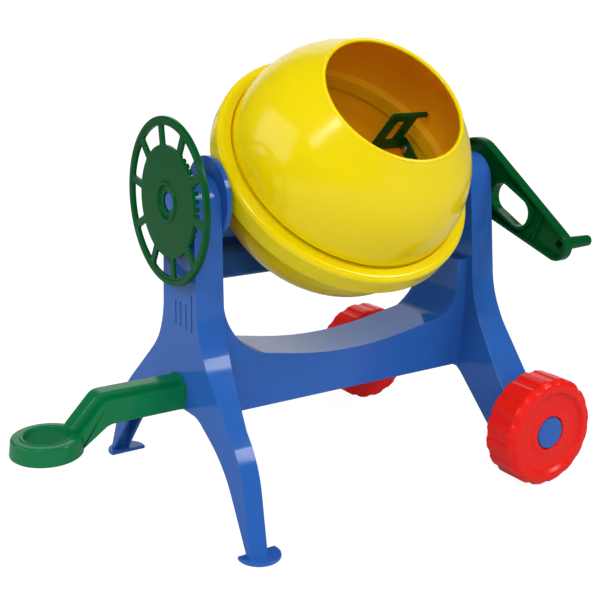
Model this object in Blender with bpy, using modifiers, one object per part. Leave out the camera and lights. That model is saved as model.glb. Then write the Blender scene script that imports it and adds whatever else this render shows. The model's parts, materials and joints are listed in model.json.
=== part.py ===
"""Toy concrete mixer on a two-wheeled tow frame, as an assembly of separate moulded pieces.

World frame: metres, +Z up, floor at z = 0. The crank is at +X, the drawbar at -X and the
drum's mouth leans towards -Y. Inside the model x = 0 is the drum's middle, and one empty
shifts the whole assembly so that the world origin is the middle of its footprint.
"""
import math

import bmesh
import bpy
from mathutils import Matrix, Vector

# General fits
GAP = 0.0003              # air between pieces that touch
RUN_GAP = 0.0006          # air between pieces that turn on each other
DRUM_STEPS = 36           # facets round the drum
WHEEL_STEPS = 36          # facets round the road wheels and the hand wheel
PIN_STEPS = 20            # facets round pins and screws
BOSS_SHIFT = 0.5          # bosses are turned by this share of a facet against their bores
CUT_OVERRUN = 0.004       # how far a cutter runs past the faces it cuts
OVERLAP = 0.001           # how far a boss, rib or peg sinks into what it is fused to

# Frame
TILT_AXIS_HEIGHT = 0.2263
LEFT_POST_CLEARANCE = 0.0065  # drum band to the left post
RIGHT_POST_CLEARANCE = 0.017  # drum band to the right post
END_DEPTH = 0.022         # end frame, across its thickness
FRAME_WALL = 0.0024
POST_RISE = 0.0172        # post top above the tilt axis
POST_HALF_WIDTH = 0.022
POST_TOP_ROUND = 0.0215
LEAN_START = 0.120        # the legs lean towards -X below this height
LEG_LEAN = 0.067          # lean per metre of height
BEARING_BOSS_RADIUS = 0.0165

# Left end frame, half outline
LEFT_FLARE_HALF = 0.0263
LEFT_FLARE_HEIGHT = 0.1249
LEFT_FLARE_ROUND = 0.064
SHOULDER_HALF = 0.0933
SHOULDER_HEIGHT = 0.0605
SHOULDER_ROUND = 0.075
FOOT_HALF = 0.1120
LEG_FOOT_WIDTH = 0.0030
LEG_NARROWING = 0.0080    # the legs' inner sides are set towards -X by this much
NARROW_FROM = 0.028
NARROW_TO = 0.075
ARCH_HEIGHT = 0.0755
ARCH_HALF = 0.0299
ARCH_ROUND = 0.025
ARCH_KNEE_HALF = 0.0696
ARCH_KNEE_HEIGHT = 0.0547
ARCH_KNEE_ROUND = 0.120
FOOT_RADIUS = 0.0152
FOOT_HEIGHT = 0.0026
FOOT_CENTRE_HALF = 0.105
FOOT_INNER_REACH = 0.004  # its disc is cut straight this far inside its middle

# Right end frame, half outline
RIGHT_FLARE_HALF = 0.0360
RIGHT_FLARE_HEIGHT = 0.1248
RIGHT_FLARE_ROUND = 0.075
LEG_END_HALF = 0.0982
LEG_END_TOP = 0.0570
LEG_END_BOTTOM = 0.0205
LEG_END_ROUND = 0.009
RIGHT_ARCH_HEIGHT = 0.071
RIGHT_ARCH_HALF = 0.0175
RIGHT_ARCH_ROUND = 0.010

# Saddle beam between the end frames
SADDLE_HALF_WIDTH = 0.025
SADDLE_BOTTOM = 0.0715
SADDLE_DIP_X = 0.0045
SADDLE_DIP_HEIGHT = 0.0989
SADDLE_SLOPE = math.radians(10)
SADDLE_DIP_ROUND = 0.330
SADDLE_LEFT_ROUND = 0.048
SADDLE_RIGHT_ROUND = 0.050
HORN_THICKNESS = 0.0015
RIGHT_HORN_THICKNESS = 0.0090
HORN_STRETCH = 1.02       # the horns end just above their arcs
SADDLE_INSIDE_ROUND = 0.004

# Screws
SCREW_RADIUS = 0.0015
SCREW_HEAD_RADIUS = 0.0032
SCREW_HEAD_HEIGHT = 0.002
FRAME_SCREW_LENGTH = 0.011
FRAME_SCREW_HEIGHT = 0.093
FRAME_SCREW_HALF = 0.0125
SCREW_BOSS_RADIUS = 0.0042
TRUNNION_SCREW_LENGTH = 0.012
SLEEVE_SCREW_LENGTH = 0.010
CRANK_SCREW_LENGTH = 0.009

# Drawbar
DRAWBAR_HALF_WIDTH = 0.012
DRAWBAR_BOTTOM = 0.077
DRAWBAR_TOP = 0.0945
RIDGE_HALF_WIDTH = 0.0065
RIDGE_HEIGHT = 0.0045
DRAWBAR_RUN = 0.0615      # level stretch, along the top
DRAWBAR_UNDER_RUN = 0.0585
NECK_REACH = 0.022        # how far the sloping neck runs on
EYE_BOTTOM = 0.0600
EYE_TOP = 0.0743
EYE_RADIUS = 0.0252
EYE_HOLE_RADIUS = 0.0160
EYE_DISTANCE = 0.0993     # drawbar root to the eye's middle
EYE_OVERLAP = 0.005       # how far the neck runs into the eye's ring
NECK_SINK = 0.0008        # the neck's end lies this far inside the eye's top and bottom
RIDGE_START = 0.0008      # the ridge starts this far from the root
UNDER_BEND_ROUND = 0.012
UNDER_NECK_ROUND = 0.008
NECK_ROUND = 0.006
BEND_ROUND = 0.010
NECK_STEP = 0.004         # the neck's top is this much shorter than its underside
RIDGE_SHIFT = 0.004       # the ridge bends this far beyond the bar's bend
RIDGE_END_DEPTH = 0.004   # the ridge's end sinks this far into the eye
RIDGE_END_RISE = 0.001
RIDGE_END_ROUND = 0.003
DRAWBAR_SCREW_HALF = 0.006
DRAWBAR_SCREW_HEIGHT = 0.087
DRAWBAR_SCREW_LENGTH = 0.014

# Road wheels
WHEEL_RADIUS = 0.0430
WHEEL_WIDTH = 0.0295
WHEEL_LUGS = 16
LUG_DEPTH = 0.0012
LUG_GAP_WIDTH = 0.004
WHEEL_FACE_RADIUS = 0.0305
WHEEL_FACE_DEPTH = 0.003
WHEEL_GAP = 0.0012        # leg end to wheel
WHEEL_EDGE = 0.003        # chamfer of the tread's edges and of the sunk face
LUG_MARGIN = 0.005        # plain strip of tread beside the outer face
HUB_RING_WIDTH = 0.004
HUB_RING_HEIGHT = 0.0008
HUB_RING_SLOPE = 0.002
PIN_RADIUS = 0.005
PIN_HEAD_RADIUS = 0.0125
PIN_HEAD_HEIGHT = 0.005
PIN_DEPTH = 0.020         # how far the pin goes into the leg
PIN_BOSS_RADIUS = 0.0077
AXLE_SETBACK = 0.003      # axle before the middle of the right legs
PIN_CROWN = 0.001         # the pin's head stands this far above the sunk face
PIN_EDGE = 0.0006

# Drum, heights along its own axis from the tilt axis
DRUM_TILT = math.radians(45.5)
DRUM_WALL = 0.0024
BOWL_RADIUS = 0.090
BOWL_BOTTOM = -0.066
BOWL_FLOOR_RADIUS = 0.045
BOWL_CONE_TOP = -0.0197
BOWL_SIDE_ROUND = 0.042
BOWL_FLOOR_ROUND = 0.024
BAND_WIDTH = 0.012        # bowl to the band's outer side
BAND_TOP = 0.0283
BAND_BOTTOM = 0.011
BAND_ROUND = 0.0045
BAND_STEP = 0.0017        # the flange under the shell sits this far below the band's top
SEAM_INSET = 0.0015       # the shell's foot stands inside the bowl's side
DOME_BULGE = 0.0012       # the dome's widest part beyond the bowl's side
DOME_ROUND = 0.081        # radius of its rounded side
DOME_CENTRE = 0.030
MOUTH_HEIGHT = 0.1030
MOUTH_RADIUS = 0.0535
SPIGOT_DEPTH = 0.009
HUB_RADIUS = 0.014
HUB_LENGTH = 0.0112
HUB_FILLET = 0.001
BAND_SLOPE_WIDTH = 0.003  # sloping strip between the band's top and the seam
BAND_SLOPE_DROP = 0.0004
SHELL_FOOT_HEIGHT = 0.0015
SPIGOT_STEP = 0.002       # the spigot's inner side runs up this far into the shell

# Drum drive
CROWN_TEETH = 72
PINION_TEETH = 8
CROWN_PITCH_OFFSET = 0.0054  # bowl to the crown gear's pitch circle
TOOTH_RISE = 0.0015
TOOTH_FALL = 0.0022
CROWN_CLEARANCE = 0.0025  # bowl to the crown gear
CROWN_WALL = 0.0025
CROWN_PLATE = 0.0024
PINION_WIDTH = 0.0072
PINION_CLEARANCE = 0.0015 # bowl to the pinion
TOOTH_EDGE = 0.0004       # the teeth stop this far from the crown gear's sides
CROWN_ROOT_SHARE = 0.24   # half widths of a tooth, as shares of its pitch
CROWN_TIP_SHARE = 0.13
PINION_ROOT_SHARE = 0.25
PINION_TIP_SHARE = 0.12

# Yoke and trunnions
YOKE_THICKNESS = 0.0034
YOKE_HALF_WIDTH = 0.022
YOKE_DISC_RADIUS = 0.030
YOKE_BAR_TOP = -0.078
YOKE_BAR_MARGIN = 0.007   # the bar reaches this far beyond the bowl's side
YOKE_ARM_KNEE = -0.012
YOKE_ARM_TOP = 0.008
YOKE_DISC_PROUD = 0.0002
YOKE_CORNER_ROUND = 0.010
YOKE_SLOT_LENGTH = 0.044
YOKE_SLOT_WIDTH = 0.015
YOKE_SLOT_X = 0.052
YOKE_SLOT_SIDE = 0.005
YOKE_PAN_DEPTH = 0.007    # blind pans behind the slots
YOKE_PAN_WALL = 0.0016
YOKE_KNEE_ROUND = 0.010
TRUNNION_RADIUS = 0.012
TRUNNION_END = 0.001      # the sleeve shows beyond the right post by this much
TRUNNION_RECESS = 0.001   # the trunnion's end lies this far inside the hand wheel
TRUNNION_SPIGOT_GAP = 0.0002  # the spigot stops short of the arm's inner side
TRUNNION_THREAD = 0.010
SPIGOT_RADIUS = 0.007
AXLE_RADIUS = 0.005
AXLE_HEAD_RADIUS = 0.009
AXLE_HEAD_HEIGHT = 0.0037
AXLE_CAP_RADIUS = 0.010
AXLE_CAP_HEIGHT = 0.0065
AXLE_CAP_EDGE = 0.0015
AXLE_CAP_ROOF = 0.001     # cap above the axle's tip
SLEEVE_FLANGE_RADIUS = 0.0165
SLEEVE_SCREW_SIDE = 0.0115
SLEEVE_THREAD = 0.0075

# Hand wheel
HANDWHEEL_RADIUS = 0.0590
HANDWHEEL_STANDOFF = 0.0090  # left post to the outer side of its plate
HANDWHEEL_PLATE = 0.0022
HANDWHEEL_LIP = 0.0008
HANDWHEEL_RIM = 0.0040
HANDWHEEL_EDGE = 0.0005
WINDOW_COUNT = 10
WINDOW_INNER = 0.0395
WINDOW_OUTER = 0.053
SPOKE_WIDTH = 0.0052
HAND_HUB_RADIUS = 0.0148
HAND_HUB_LENGTH = 0.0012
HAND_HUB_EDGE = 0.0004
HAND_SEAT_RADIUS = 0.0066
DETENT_RADIUS = 0.035
DETENT_WALL = 0.003
DETENT_LENGTH = 0.0050

# Crank
CRANK_CLEARANCE = 0.0030  # right post to the crank's rim
CRANK_DEPTH = 0.0080
CRANK_WALL = 0.0024
CRANK_HUB_ROUND = 0.0282
CRANK_LENGTH = 0.1040
CRANK_END_ROUND = 0.0123
CRANK_ANGLE = math.radians(25.2)
CRANK_BOSS_RADIUS = 0.010
CRANK_HOLE_HALF_WIDTH = 0.0115
CRANK_HOLE_DISTANCE = 0.0485
CRANK_HOLE_HALF_LENGTH = 0.0220
CRANK_RIB_DISTANCE = 0.080
CRANK_RIB_THICKNESS = 0.0015
CRANK_RIB_STEP = 0.002    # the rib stops this far inside the rim
CRANK_RIB_REACH = 0.003   # the rib's ends beyond the peg end's radius
CRANK_BOSS_CLEARANCE = 0.0024
PEG_LENGTH = 0.0305
PEG_ROOT_RADIUS = 0.0052
PEG_TIP_RADIUS = 0.0043
PEG_EDGE_WIDTH = 0.0012
PEG_EDGE_HEIGHT = 0.0014
SHAFT_RADIUS = 0.005
SHAFT_START = 0.0008      # the shaft's tip before the pinion
SHAFT_THREAD = 0.008

# Mixing paddle, in the drum's own frame
PADDLE_THICKNESS = 0.0026
PADDLE_SIDE = 0.028
PADDLE_WIDTH = 0.025
PADDLE_SETBACK = 0.0081   # foot's face to the blade's outer side
PADDLE_LOW = 0.004
PADDLE_HIGH = 0.046
PADDLE_BAR = 0.0075
PADDLE_FOOT_LENGTH = 0.024
PADDLE_FOOT_HEIGHT = 0.010
PADDLE_FOOT_RAMP = 0.004
PADDLE_BOSS_LENGTH = 0.0075
PADDLE_BOSS_RADIUS = 0.0036
PADDLE_BOSS_COVER = 0.0008  # the bosses' ends lie this far inside the bowl's outer side
PADDLE_ARM_REACH = 0.001  # the top arm's end beyond the foot's face
PADDLE_SCREW_FAR = 0.005  # screws from the foot's two ends
PADDLE_SCREW_NEAR = 0.006
PADDLE_SCREW_LENGTH = 0.0085

# Colours, linear values
BLUE = (0.028, 0.098, 0.41, 1.0)
YELLOW = (0.80, 0.66, 0.0, 1.0)
GREEN = (0.0, 0.115, 0.036, 1.0)
RED = (0.75, 0.010, 0.006, 1.0)
STEEL = (0.55, 0.56, 0.58, 1.0)

# Places that follow from the driving dimensions
POST_TOP = TILT_AXIS_HEIGHT + POST_RISE
BAND_RADIUS = BOWL_RADIUS + BAND_WIDTH
SEAM_RADIUS = BOWL_RADIUS - SEAM_INSET
DOME_RADIUS = BOWL_RADIUS + DOME_BULGE
LEFT_POST_INNER = -(BAND_RADIUS + LEFT_POST_CLEARANCE)
RIGHT_POST_INNER = BAND_RADIUS + RIGHT_POST_CLEARANCE
LEFT_POST_OUTER = LEFT_POST_INNER - END_DEPTH
RIGHT_POST_OUTER = RIGHT_POST_INNER + END_DEPTH
ARM_OUTER = -LEFT_POST_INNER - RUN_GAP
ARM_INNER = ARM_OUTER - YOKE_THICKNESS
YOKE_BAR_BOTTOM = YOKE_BAR_TOP - YOKE_THICKNESS
YOKE_BAR_HALF_LENGTH = BOWL_RADIUS + YOKE_BAR_MARGIN
HANDWHEEL_PLANE = LEFT_POST_OUTER - HANDWHEEL_STANDOFF
CRANK_INNER = RIGHT_POST_OUTER + CRANK_CLEARANCE
CRANK_OUTER = CRANK_INNER + CRANK_DEPTH
PEG_TIP = CRANK_OUTER + PEG_LENGTH
PINION_PITCH_RADIUS = (BOWL_RADIUS + CROWN_PITCH_OFFSET) * PINION_TEETH / CROWN_TEETH
PINION_OUTER_RADIUS = PINION_PITCH_RADIUS + TOOTH_RISE
PINION_START = BOWL_RADIUS + PINION_CLEARANCE
CROWN_INNER = BOWL_RADIUS + CROWN_CLEARANCE
CROWN_ROOT = PINION_PITCH_RADIUS + TOOTH_FALL
CROWN_TIP = PINION_PITCH_RADIUS - TOOTH_RISE
CROWN_OUTER = BAND_RADIUS - DRUM_WALL - RUN_GAP
BEARING_RADIUS = TRUNNION_RADIUS + RUN_GAP
SCREW_HOLE_RADIUS = SCREW_RADIUS + GAP
AXLE_TIP = BOWL_BOTTOM + DRUM_WALL + AXLE_CAP_HEIGHT - AXLE_CAP_ROOF
PADDLE_FACE = BOWL_RADIUS - DRUM_WALL - PADDLE_BOSS_LENGTH  # the foot's seat on its bosses
PADDLE_OUTER = PADDLE_FACE - PADDLE_SETBACK
PADDLE_INNER = PADDLE_OUTER - PADDLE_WIDTH


def lean_shift(height):
    """Sideways shift of the leaning lower frame at a height."""
    return LEG_LEAN * min(0.0, height - LEAN_START)


EYE_X = LEFT_POST_OUTER - GAP - EYE_DISTANCE
LEFT_REACH = EYE_X - EYE_RADIUS + lean_shift(EYE_BOTTOM)
ORIGIN_SHIFT = -(LEFT_REACH + PEG_TIP) / 2
AXLE_X = (RIGHT_POST_INNER + RIGHT_POST_OUTER) / 2 + lean_shift(WHEEL_RADIUS) - AXLE_SETBACK
WHEEL_INNER_FACE = LEG_END_HALF + WHEEL_GAP


def clear_scene():
    for old in list(bpy.data.objects):
        bpy.data.objects.remove(old, do_unlink=True)


clear_scene()
PARTS = bpy.data.collections.new("toy_concrete_mixer")
TOOLS = bpy.data.collections.new("cutters")
for group in (PARTS, TOOLS):
    bpy.context.scene.collection.children.link(group)


def plastic(name, colour, roughness, metallic=0.0):
    made = bpy.data.materials.new(name)
    made.use_nodes = True
    shader = made.node_tree.nodes["Principled BSDF"]
    shader.inputs["Base Color"].default_value = colour
    shader.inputs["Roughness"].default_value = roughness
    shader.inputs["Metallic"].default_value = metallic
    made.diffuse_color = colour
    return made


BLUE_PLASTIC = plastic("blue_plastic", BLUE, 0.22)
YELLOW_PLASTIC = plastic("yellow_plastic", YELLOW, 0.20)
GREEN_PLASTIC = plastic("green_plastic", GREEN, 0.25)
RED_PLASTIC = plastic("red_plastic", RED, 0.25)
SCREW_STEEL = plastic("screw_steel", STEEL, 0.35, 1.0)


def empty(name, parent, location=(0, 0, 0), rotation=(0, 0, 0)):
    made = bpy.data.objects.new(name, None)
    made.location = location
    made.rotation_euler = rotation
    made.parent = parent
    PARTS.objects.link(made)
    return made


def finish_mesh(name, mesh, parent):
    """Make an object from a mesh, welded and with its faces pointing out."""
    shape = bmesh.new()
    shape.from_mesh(mesh)
    bmesh.ops.remove_doubles(shape, verts=shape.verts, dist=0.000001)
    bmesh.ops.recalc_face_normals(shape, faces=shape.faces)
    shape.to_mesh(mesh)
    shape.free()
    made = bpy.data.objects.new(name, mesh)
    made.parent = parent
    PARTS.objects.link(made)
    return made


def rounded(corners, closed=True, step=math.radians(18)):
    """Turn (u, v, radius) corners into points, each corner replaced by an arc."""
    points = []
    count = len(corners)
    for index, (u, v, radius) in enumerate(corners):
        here = Vector((u, v))
        at_end = not closed and index in (0, count - 1)
        if at_end or radius <= 0:
            points.append((u, v))
            continue
        before = Vector(corners[index - 1][:2]) - here
        after = Vector(corners[(index + 1) % count][:2]) - here
        turn = math.pi - before.angle(after)
        reach = min(radius * math.tan(turn / 2), 0.49 * before.length, 0.49 * after.length)
        if index == 1 and not closed:
            reach = min(radius * math.tan(turn / 2), 0.98 * before.length, 0.49 * after.length)
        bend = reach / math.tan(turn / 2)
        start = here + before.normalized() * reach
        towards = (before.normalized() + after.normalized()).normalized()
        centre = here + towards * (bend / math.cos(turn / 2))
        first = start - centre
        side = 1.0 if before.cross(after) < 0 else -1.0
        pieces = max(2, math.ceil(turn / step))
        for piece in range(pieces + 1):
            angle = side * turn * piece / pieces
            cosine = math.cos(angle)
            sine = math.sin(angle)
            points.append((centre.x + first.x * cosine - first.y * sine,
                           centre.y + first.x * sine + first.y * cosine))
    return points


def circle(u, v, radius, steps=PIN_STEPS):
    angles = [2 * math.pi * index / steps for index in range(steps)]
    return [(u + radius * math.cos(angle), v + radius * math.sin(angle)) for angle in angles]


def mirrored(half):
    """Close a half outline, given from its middle line round to its middle line, at u > 0."""
    return half + [(-u, v) for u, v in reversed(half) if u > 0.000001]


PLANES = {
    "YZ": lambda u, v, w: (w, u, v),
    "XZ": lambda u, v, w: (u, w, v),
    "XY": lambda u, v, w: (u, v, w),
}


def extruded(name, outlines, low, high, plane, parent):
    """A flat outline, with any holes, as a solid between two levels along the third axis."""
    curve = bpy.data.curves.new(name, "CURVE")
    curve.dimensions = "2D"
    curve.fill_mode = "BOTH"
    curve.extrude = (high - low) / 2
    for outline in outlines:
        spline = curve.splines.new("POLY")
        spline.points.add(len(outline) - 1)
        for point, (u, v) in zip(spline.points, outline):
            point.co = (u, v, 0.0, 1.0)
        spline.use_cyclic_u = True
    holder = bpy.data.objects.new(name, curve)
    TOOLS.objects.link(holder)
    seen = holder.evaluated_get(bpy.context.evaluated_depsgraph_get())
    mesh = bpy.data.meshes.new_from_object(seen)
    bpy.data.objects.remove(holder)
    middle = (high + low) / 2
    for vertex in mesh.vertices:
        vertex.co = PLANES[plane](vertex.co.x, vertex.co.y, vertex.co.z + middle)
    return finish_mesh(name, mesh, parent)


def turned(name, section, steps, parent, axis="Z"):
    """A closed section of (radius, height) points, turned about an axis with a Screw modifier."""
    area = sum(a[0] * b[1] - b[0] * a[1] for a, b in zip(section, section[1:] + section[:1]))
    if area > 0:
        section = section[::-1]
    mesh = bpy.data.meshes.new(name)
    on_axis = min(radius for radius, _ in section) < 0.000001
    if on_axis:
        while section[0][0] > 0.000001 or section[-1][0] > 0.000001 or section[0][1] < section[-1][1]:
            section = section[1:] + section[:1]
    count = len(section)
    edges = [(index, index + 1) for index in range(count - 1)]
    if not on_axis:
        edges.append((count - 1, 0))
    mesh.from_pydata([(radius, 0.0, height) for radius, height in section], edges, [])
    made = bpy.data.objects.new(name, mesh)
    TOOLS.objects.link(made)
    screw = made.modifiers.new("turn", "SCREW")
    screw.steps = steps
    screw.render_steps = steps
    screw.use_merge_vertices = True
    screw.merge_threshold = 0.00001
    screw.use_smooth_shade = True
    seen = made.evaluated_get(bpy.context.evaluated_depsgraph_get())
    solid = bpy.data.meshes.new_from_object(seen)
    bpy.data.objects.remove(made)
    for vertex in solid.vertices:
        x, y, z = vertex.co
        if axis == "X":
            vertex.co = (z, x, y)
        if axis == "Y":
            vertex.co = (y, z, x)
    return finish_mesh(name, solid, parent)


def rod(name, radius, low, high, axis, parent, place=(0, 0, 0), steps=PIN_STEPS, facet_shift=0.0):
    """A plain round bar between two levels along an axis."""
    section = [(0.0, high), (radius, high), (radius, low), (0.0, low)]
    made = turned(name, section, steps, parent, axis)
    turn_about(axis, made, facet_shift * 2 * math.pi / steps)
    made.data.transform(matrix_at(place))
    return made


def matrix_at(place):
    return Matrix.Translation(Vector(place))


def block(name, low, high, parent):
    """A box between two corners."""
    mesh = bpy.data.meshes.new(name)
    shape = bmesh.new()
    bmesh.ops.create_cube(shape, size=1.0)
    for vertex in shape.verts:
        vertex.co = [low[k] + (high[k] - low[k]) * (vertex.co[k] + 0.5) for k in range(3)]
    shape.to_mesh(mesh)
    shape.free()
    return finish_mesh(name, mesh, parent)


def combine(target, tool, operation):
    modifier = target.modifiers.new(tool.name, "BOOLEAN")
    modifier.operation = operation
    modifier.object = tool
    modifier.solver = "EXACT"
    PARTS.objects.unlink(tool)
    TOOLS.objects.link(tool)
    tool.hide_render = True
    tool.display_type = "WIRE"


def cut(target, *tools):
    for tool in tools:
        combine(target, tool, "DIFFERENCE")


def fuse(target, *tools):
    for tool in tools:
        combine(target, tool, "UNION")


def joined(name, pieces, parent):
    """Several separate solids in one object."""
    shape = bmesh.new()
    for piece in pieces:
        shape.from_mesh(piece.data)
        bpy.data.objects.remove(piece)
    mesh = bpy.data.meshes.new(name)
    shape.to_mesh(mesh)
    shape.free()
    return finish_mesh(name, mesh, parent)


def lean(piece):
    """Lean everything below LEAN_START towards -X, with a crease at that height."""
    shape = bmesh.new()
    shape.from_mesh(piece.data)
    everything = shape.verts[:] + shape.edges[:] + shape.faces[:]
    bmesh.ops.bisect_plane(shape, geom=everything, dist=0.000001,
                           plane_co=(0, 0, LEAN_START), plane_no=(0, 0, 1))
    for vertex in shape.verts:
        vertex.co.x += lean_shift(vertex.co.z)
    shape.to_mesh(piece.data)
    shape.free()
    return piece


def paint(piece, material, smooth_angle=math.radians(32)):
    piece.data.materials.clear()
    piece.data.materials.append(material)
    piece.data.shade_smooth()
    piece.data.set_sharp_from_angle(angle=smooth_angle)
    return piece


def screw_solid(name, head, length, direction, parent, place):
    """A pan-head screw along X: head is the x of its bearing face, direction is +1 or -1."""
    section = [(0.0, -SCREW_HEAD_HEIGHT), (SCREW_HEAD_RADIUS, -SCREW_HEAD_HEIGHT),
               (SCREW_HEAD_RADIUS, 0.0), (SCREW_RADIUS, 0.0), (SCREW_RADIUS, length), (0.0, length)]
    section = [(radius, head + direction * height) for radius, height in section]
    made = turned(name, section, 12, parent, "X")
    made.data.transform(matrix_at(place))
    return paint(made, SCREW_STEEL)


# Empties that carry the joints' axes
ORIGIN = empty("mixer_origin", None, (ORIGIN_SHIFT, 0, 0))
TILT = empty("tilt_axis", ORIGIN, (0, 0, TILT_AXIS_HEIGHT), (DRUM_TILT, 0, 0))
CRANK_AXIS = empty("crank_axis", ORIGIN, (0, 0, TILT_AXIS_HEIGHT), (math.pi + CRANK_ANGLE, 0, 0))
WHEEL_AXIS = {}
SIDES = (("front", -1), ("rear", 1))
for side_name, side in SIDES:
    WHEEL_AXIS[side] = empty(side_name + "_wheel_axis", ORIGIN, (AXLE_X, 0, WHEEL_RADIUS))


def post_outline(flare_half, flare_height, flare_round):
    return [(0.0, POST_TOP, 0.0), (POST_HALF_WIDTH, POST_TOP, POST_TOP_ROUND),
            (flare_half, flare_height, flare_round)]


def narrowed(piece, middle, inner_way):
    """Set the inner side of the legs towards -X, more and more from NARROW_FROM to NARROW_TO."""
    shape = bmesh.new()
    shape.from_mesh(piece.data)
    for edge in (-NARROW_TO, -NARROW_FROM, NARROW_FROM, NARROW_TO):
        everything = shape.verts[:] + shape.edges[:] + shape.faces[:]
        bmesh.ops.bisect_plane(shape, geom=everything, dist=0.000001, plane_co=(0, edge, 0),
                               plane_no=(0, 1, 0))
    for vertex in shape.verts:
        share = (abs(vertex.co.y) - NARROW_FROM) / (NARROW_TO - NARROW_FROM)
        if (vertex.co.x - middle) * inner_way > 0:
            vertex.co.x -= LEG_NARROWING * min(1.0, max(0.0, share))
    shape.to_mesh(piece.data)
    shape.free()
    return piece


def hollowed(name, outer, inner, x_low, x_high, inner_way):
    """An end frame: a thick outline with its inside cut away, open along the arch."""
    middle = (x_low + x_high) / 2
    body = extruded(name, [mirrored(outer)], x_low, x_high, "YZ", ORIGIN)
    lean(narrowed(body, middle, inner_way))
    bottom = -CUT_OVERRUN
    inside = inner + [(inner[-1][0], bottom), (0.0, bottom)]
    hollow = extruded(name + "_hollow", [mirrored(inside)], x_low + FRAME_WALL,
                      x_high - FRAME_WALL, "YZ", ORIGIN)
    cut(body, lean(narrowed(hollow, middle, inner_way)))
    boss = rod(name + "_boss", BEARING_BOSS_RADIUS, x_low + FRAME_WALL / 2, x_high - FRAME_WALL / 2,
               "X", ORIGIN, (0, 0, TILT_AXIS_HEIGHT), 28, BOSS_SHIFT)
    fuse(body, boss)
    bore = rod(name + "_bore", BEARING_RADIUS, x_low - CUT_OVERRUN, x_high + CUT_OVERRUN, "X", ORIGIN,
               (0, 0, TILT_AXIS_HEIGHT), 28)
    cut(body, bore)
    return body


def inset(points, distance):
    """Move an open outline inwards, to its right-hand side when it runs down at u > 0."""
    moved = []
    for index, point in enumerate(points):
        here = Vector(point)
        before = Vector(points[max(index - 1, 0)])
        after = Vector(points[min(index + 1, len(points) - 1)])
        into = (here - before).normalized() if index else (after - here).normalized()
        out = (after - here).normalized() if index < len(points) - 1 else into
        mean = (into + out).normalized()
        normal = Vector((mean.y, -mean.x))
        stretch = 1.0 / max(0.5, mean.dot(into))
        spot = here + normal * distance * stretch
        moved.append((max(spot.x, 0.0), spot.y))
    return moved


def left_end_frame():
    top = post_outline(LEFT_FLARE_HALF, LEFT_FLARE_HEIGHT, LEFT_FLARE_ROUND)
    top += [(SHOULDER_HALF, SHOULDER_HEIGHT, SHOULDER_ROUND), (FOOT_HALF, 0.0, 0.0)]
    side = rounded(top, closed=False, step=math.radians(12))
    arch = [(FOOT_HALF - LEG_FOOT_WIDTH, 0.0, 0.0), (ARCH_KNEE_HALF, ARCH_KNEE_HEIGHT, ARCH_KNEE_ROUND),
            (ARCH_HALF, ARCH_HEIGHT, ARCH_ROUND), (0.0, ARCH_HEIGHT, 0.0)]
    under = rounded(arch, closed=False, step=math.radians(12))
    body = hollowed("left_end_frame", side + under, inset(side, FRAME_WALL),
                    LEFT_POST_OUTER, LEFT_POST_INNER, 1)
    middle = (LEFT_POST_OUTER + LEFT_POST_INNER) / 2 + lean_shift(0.0)
    for name, sign in SIDES:
        fuse(body, extruded(name + "_foot", [foot_outline(middle, sign)], 0.0, FOOT_HEIGHT, "XY", ORIGIN))
    for sign in (-1, 1):
        cut(body, screw_hole("left_frame_hole", sign * FRAME_SCREW_HALF, FRAME_SCREW_HEIGHT,
                             LEFT_POST_INNER - CUT_OVERRUN, LEFT_POST_INNER + CUT_OVERRUN))
        cut(body, screw_hole("drawbar_hole", sign * DRAWBAR_SCREW_HALF, DRAWBAR_SCREW_HEIGHT,
                             LEFT_POST_OUTER - CUT_OVERRUN, LEFT_POST_OUTER + CUT_OVERRUN))
    return paint(body, BLUE_PLASTIC)


def foot_outline(middle, sign):
    """A disc under the leg, cut straight on the side of the arch."""
    chord = math.asin(FOOT_INNER_REACH / FOOT_RADIUS)
    steps = 20
    points = []
    for index in range(steps + 1):
        angle = -chord + (math.pi + 2 * chord) * index / steps
        points.append((middle + FOOT_RADIUS * math.cos(angle),
                       sign * (FOOT_CENTRE_HALF + FOOT_RADIUS * math.sin(angle))))
    return points


def screw_hole(name, y, z, x_low, x_high):
    shift = lean_shift(z)
    return rod(name, SCREW_HOLE_RADIUS, x_low + shift, x_high + shift, "X", ORIGIN, (0, y, z), 12)


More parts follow.
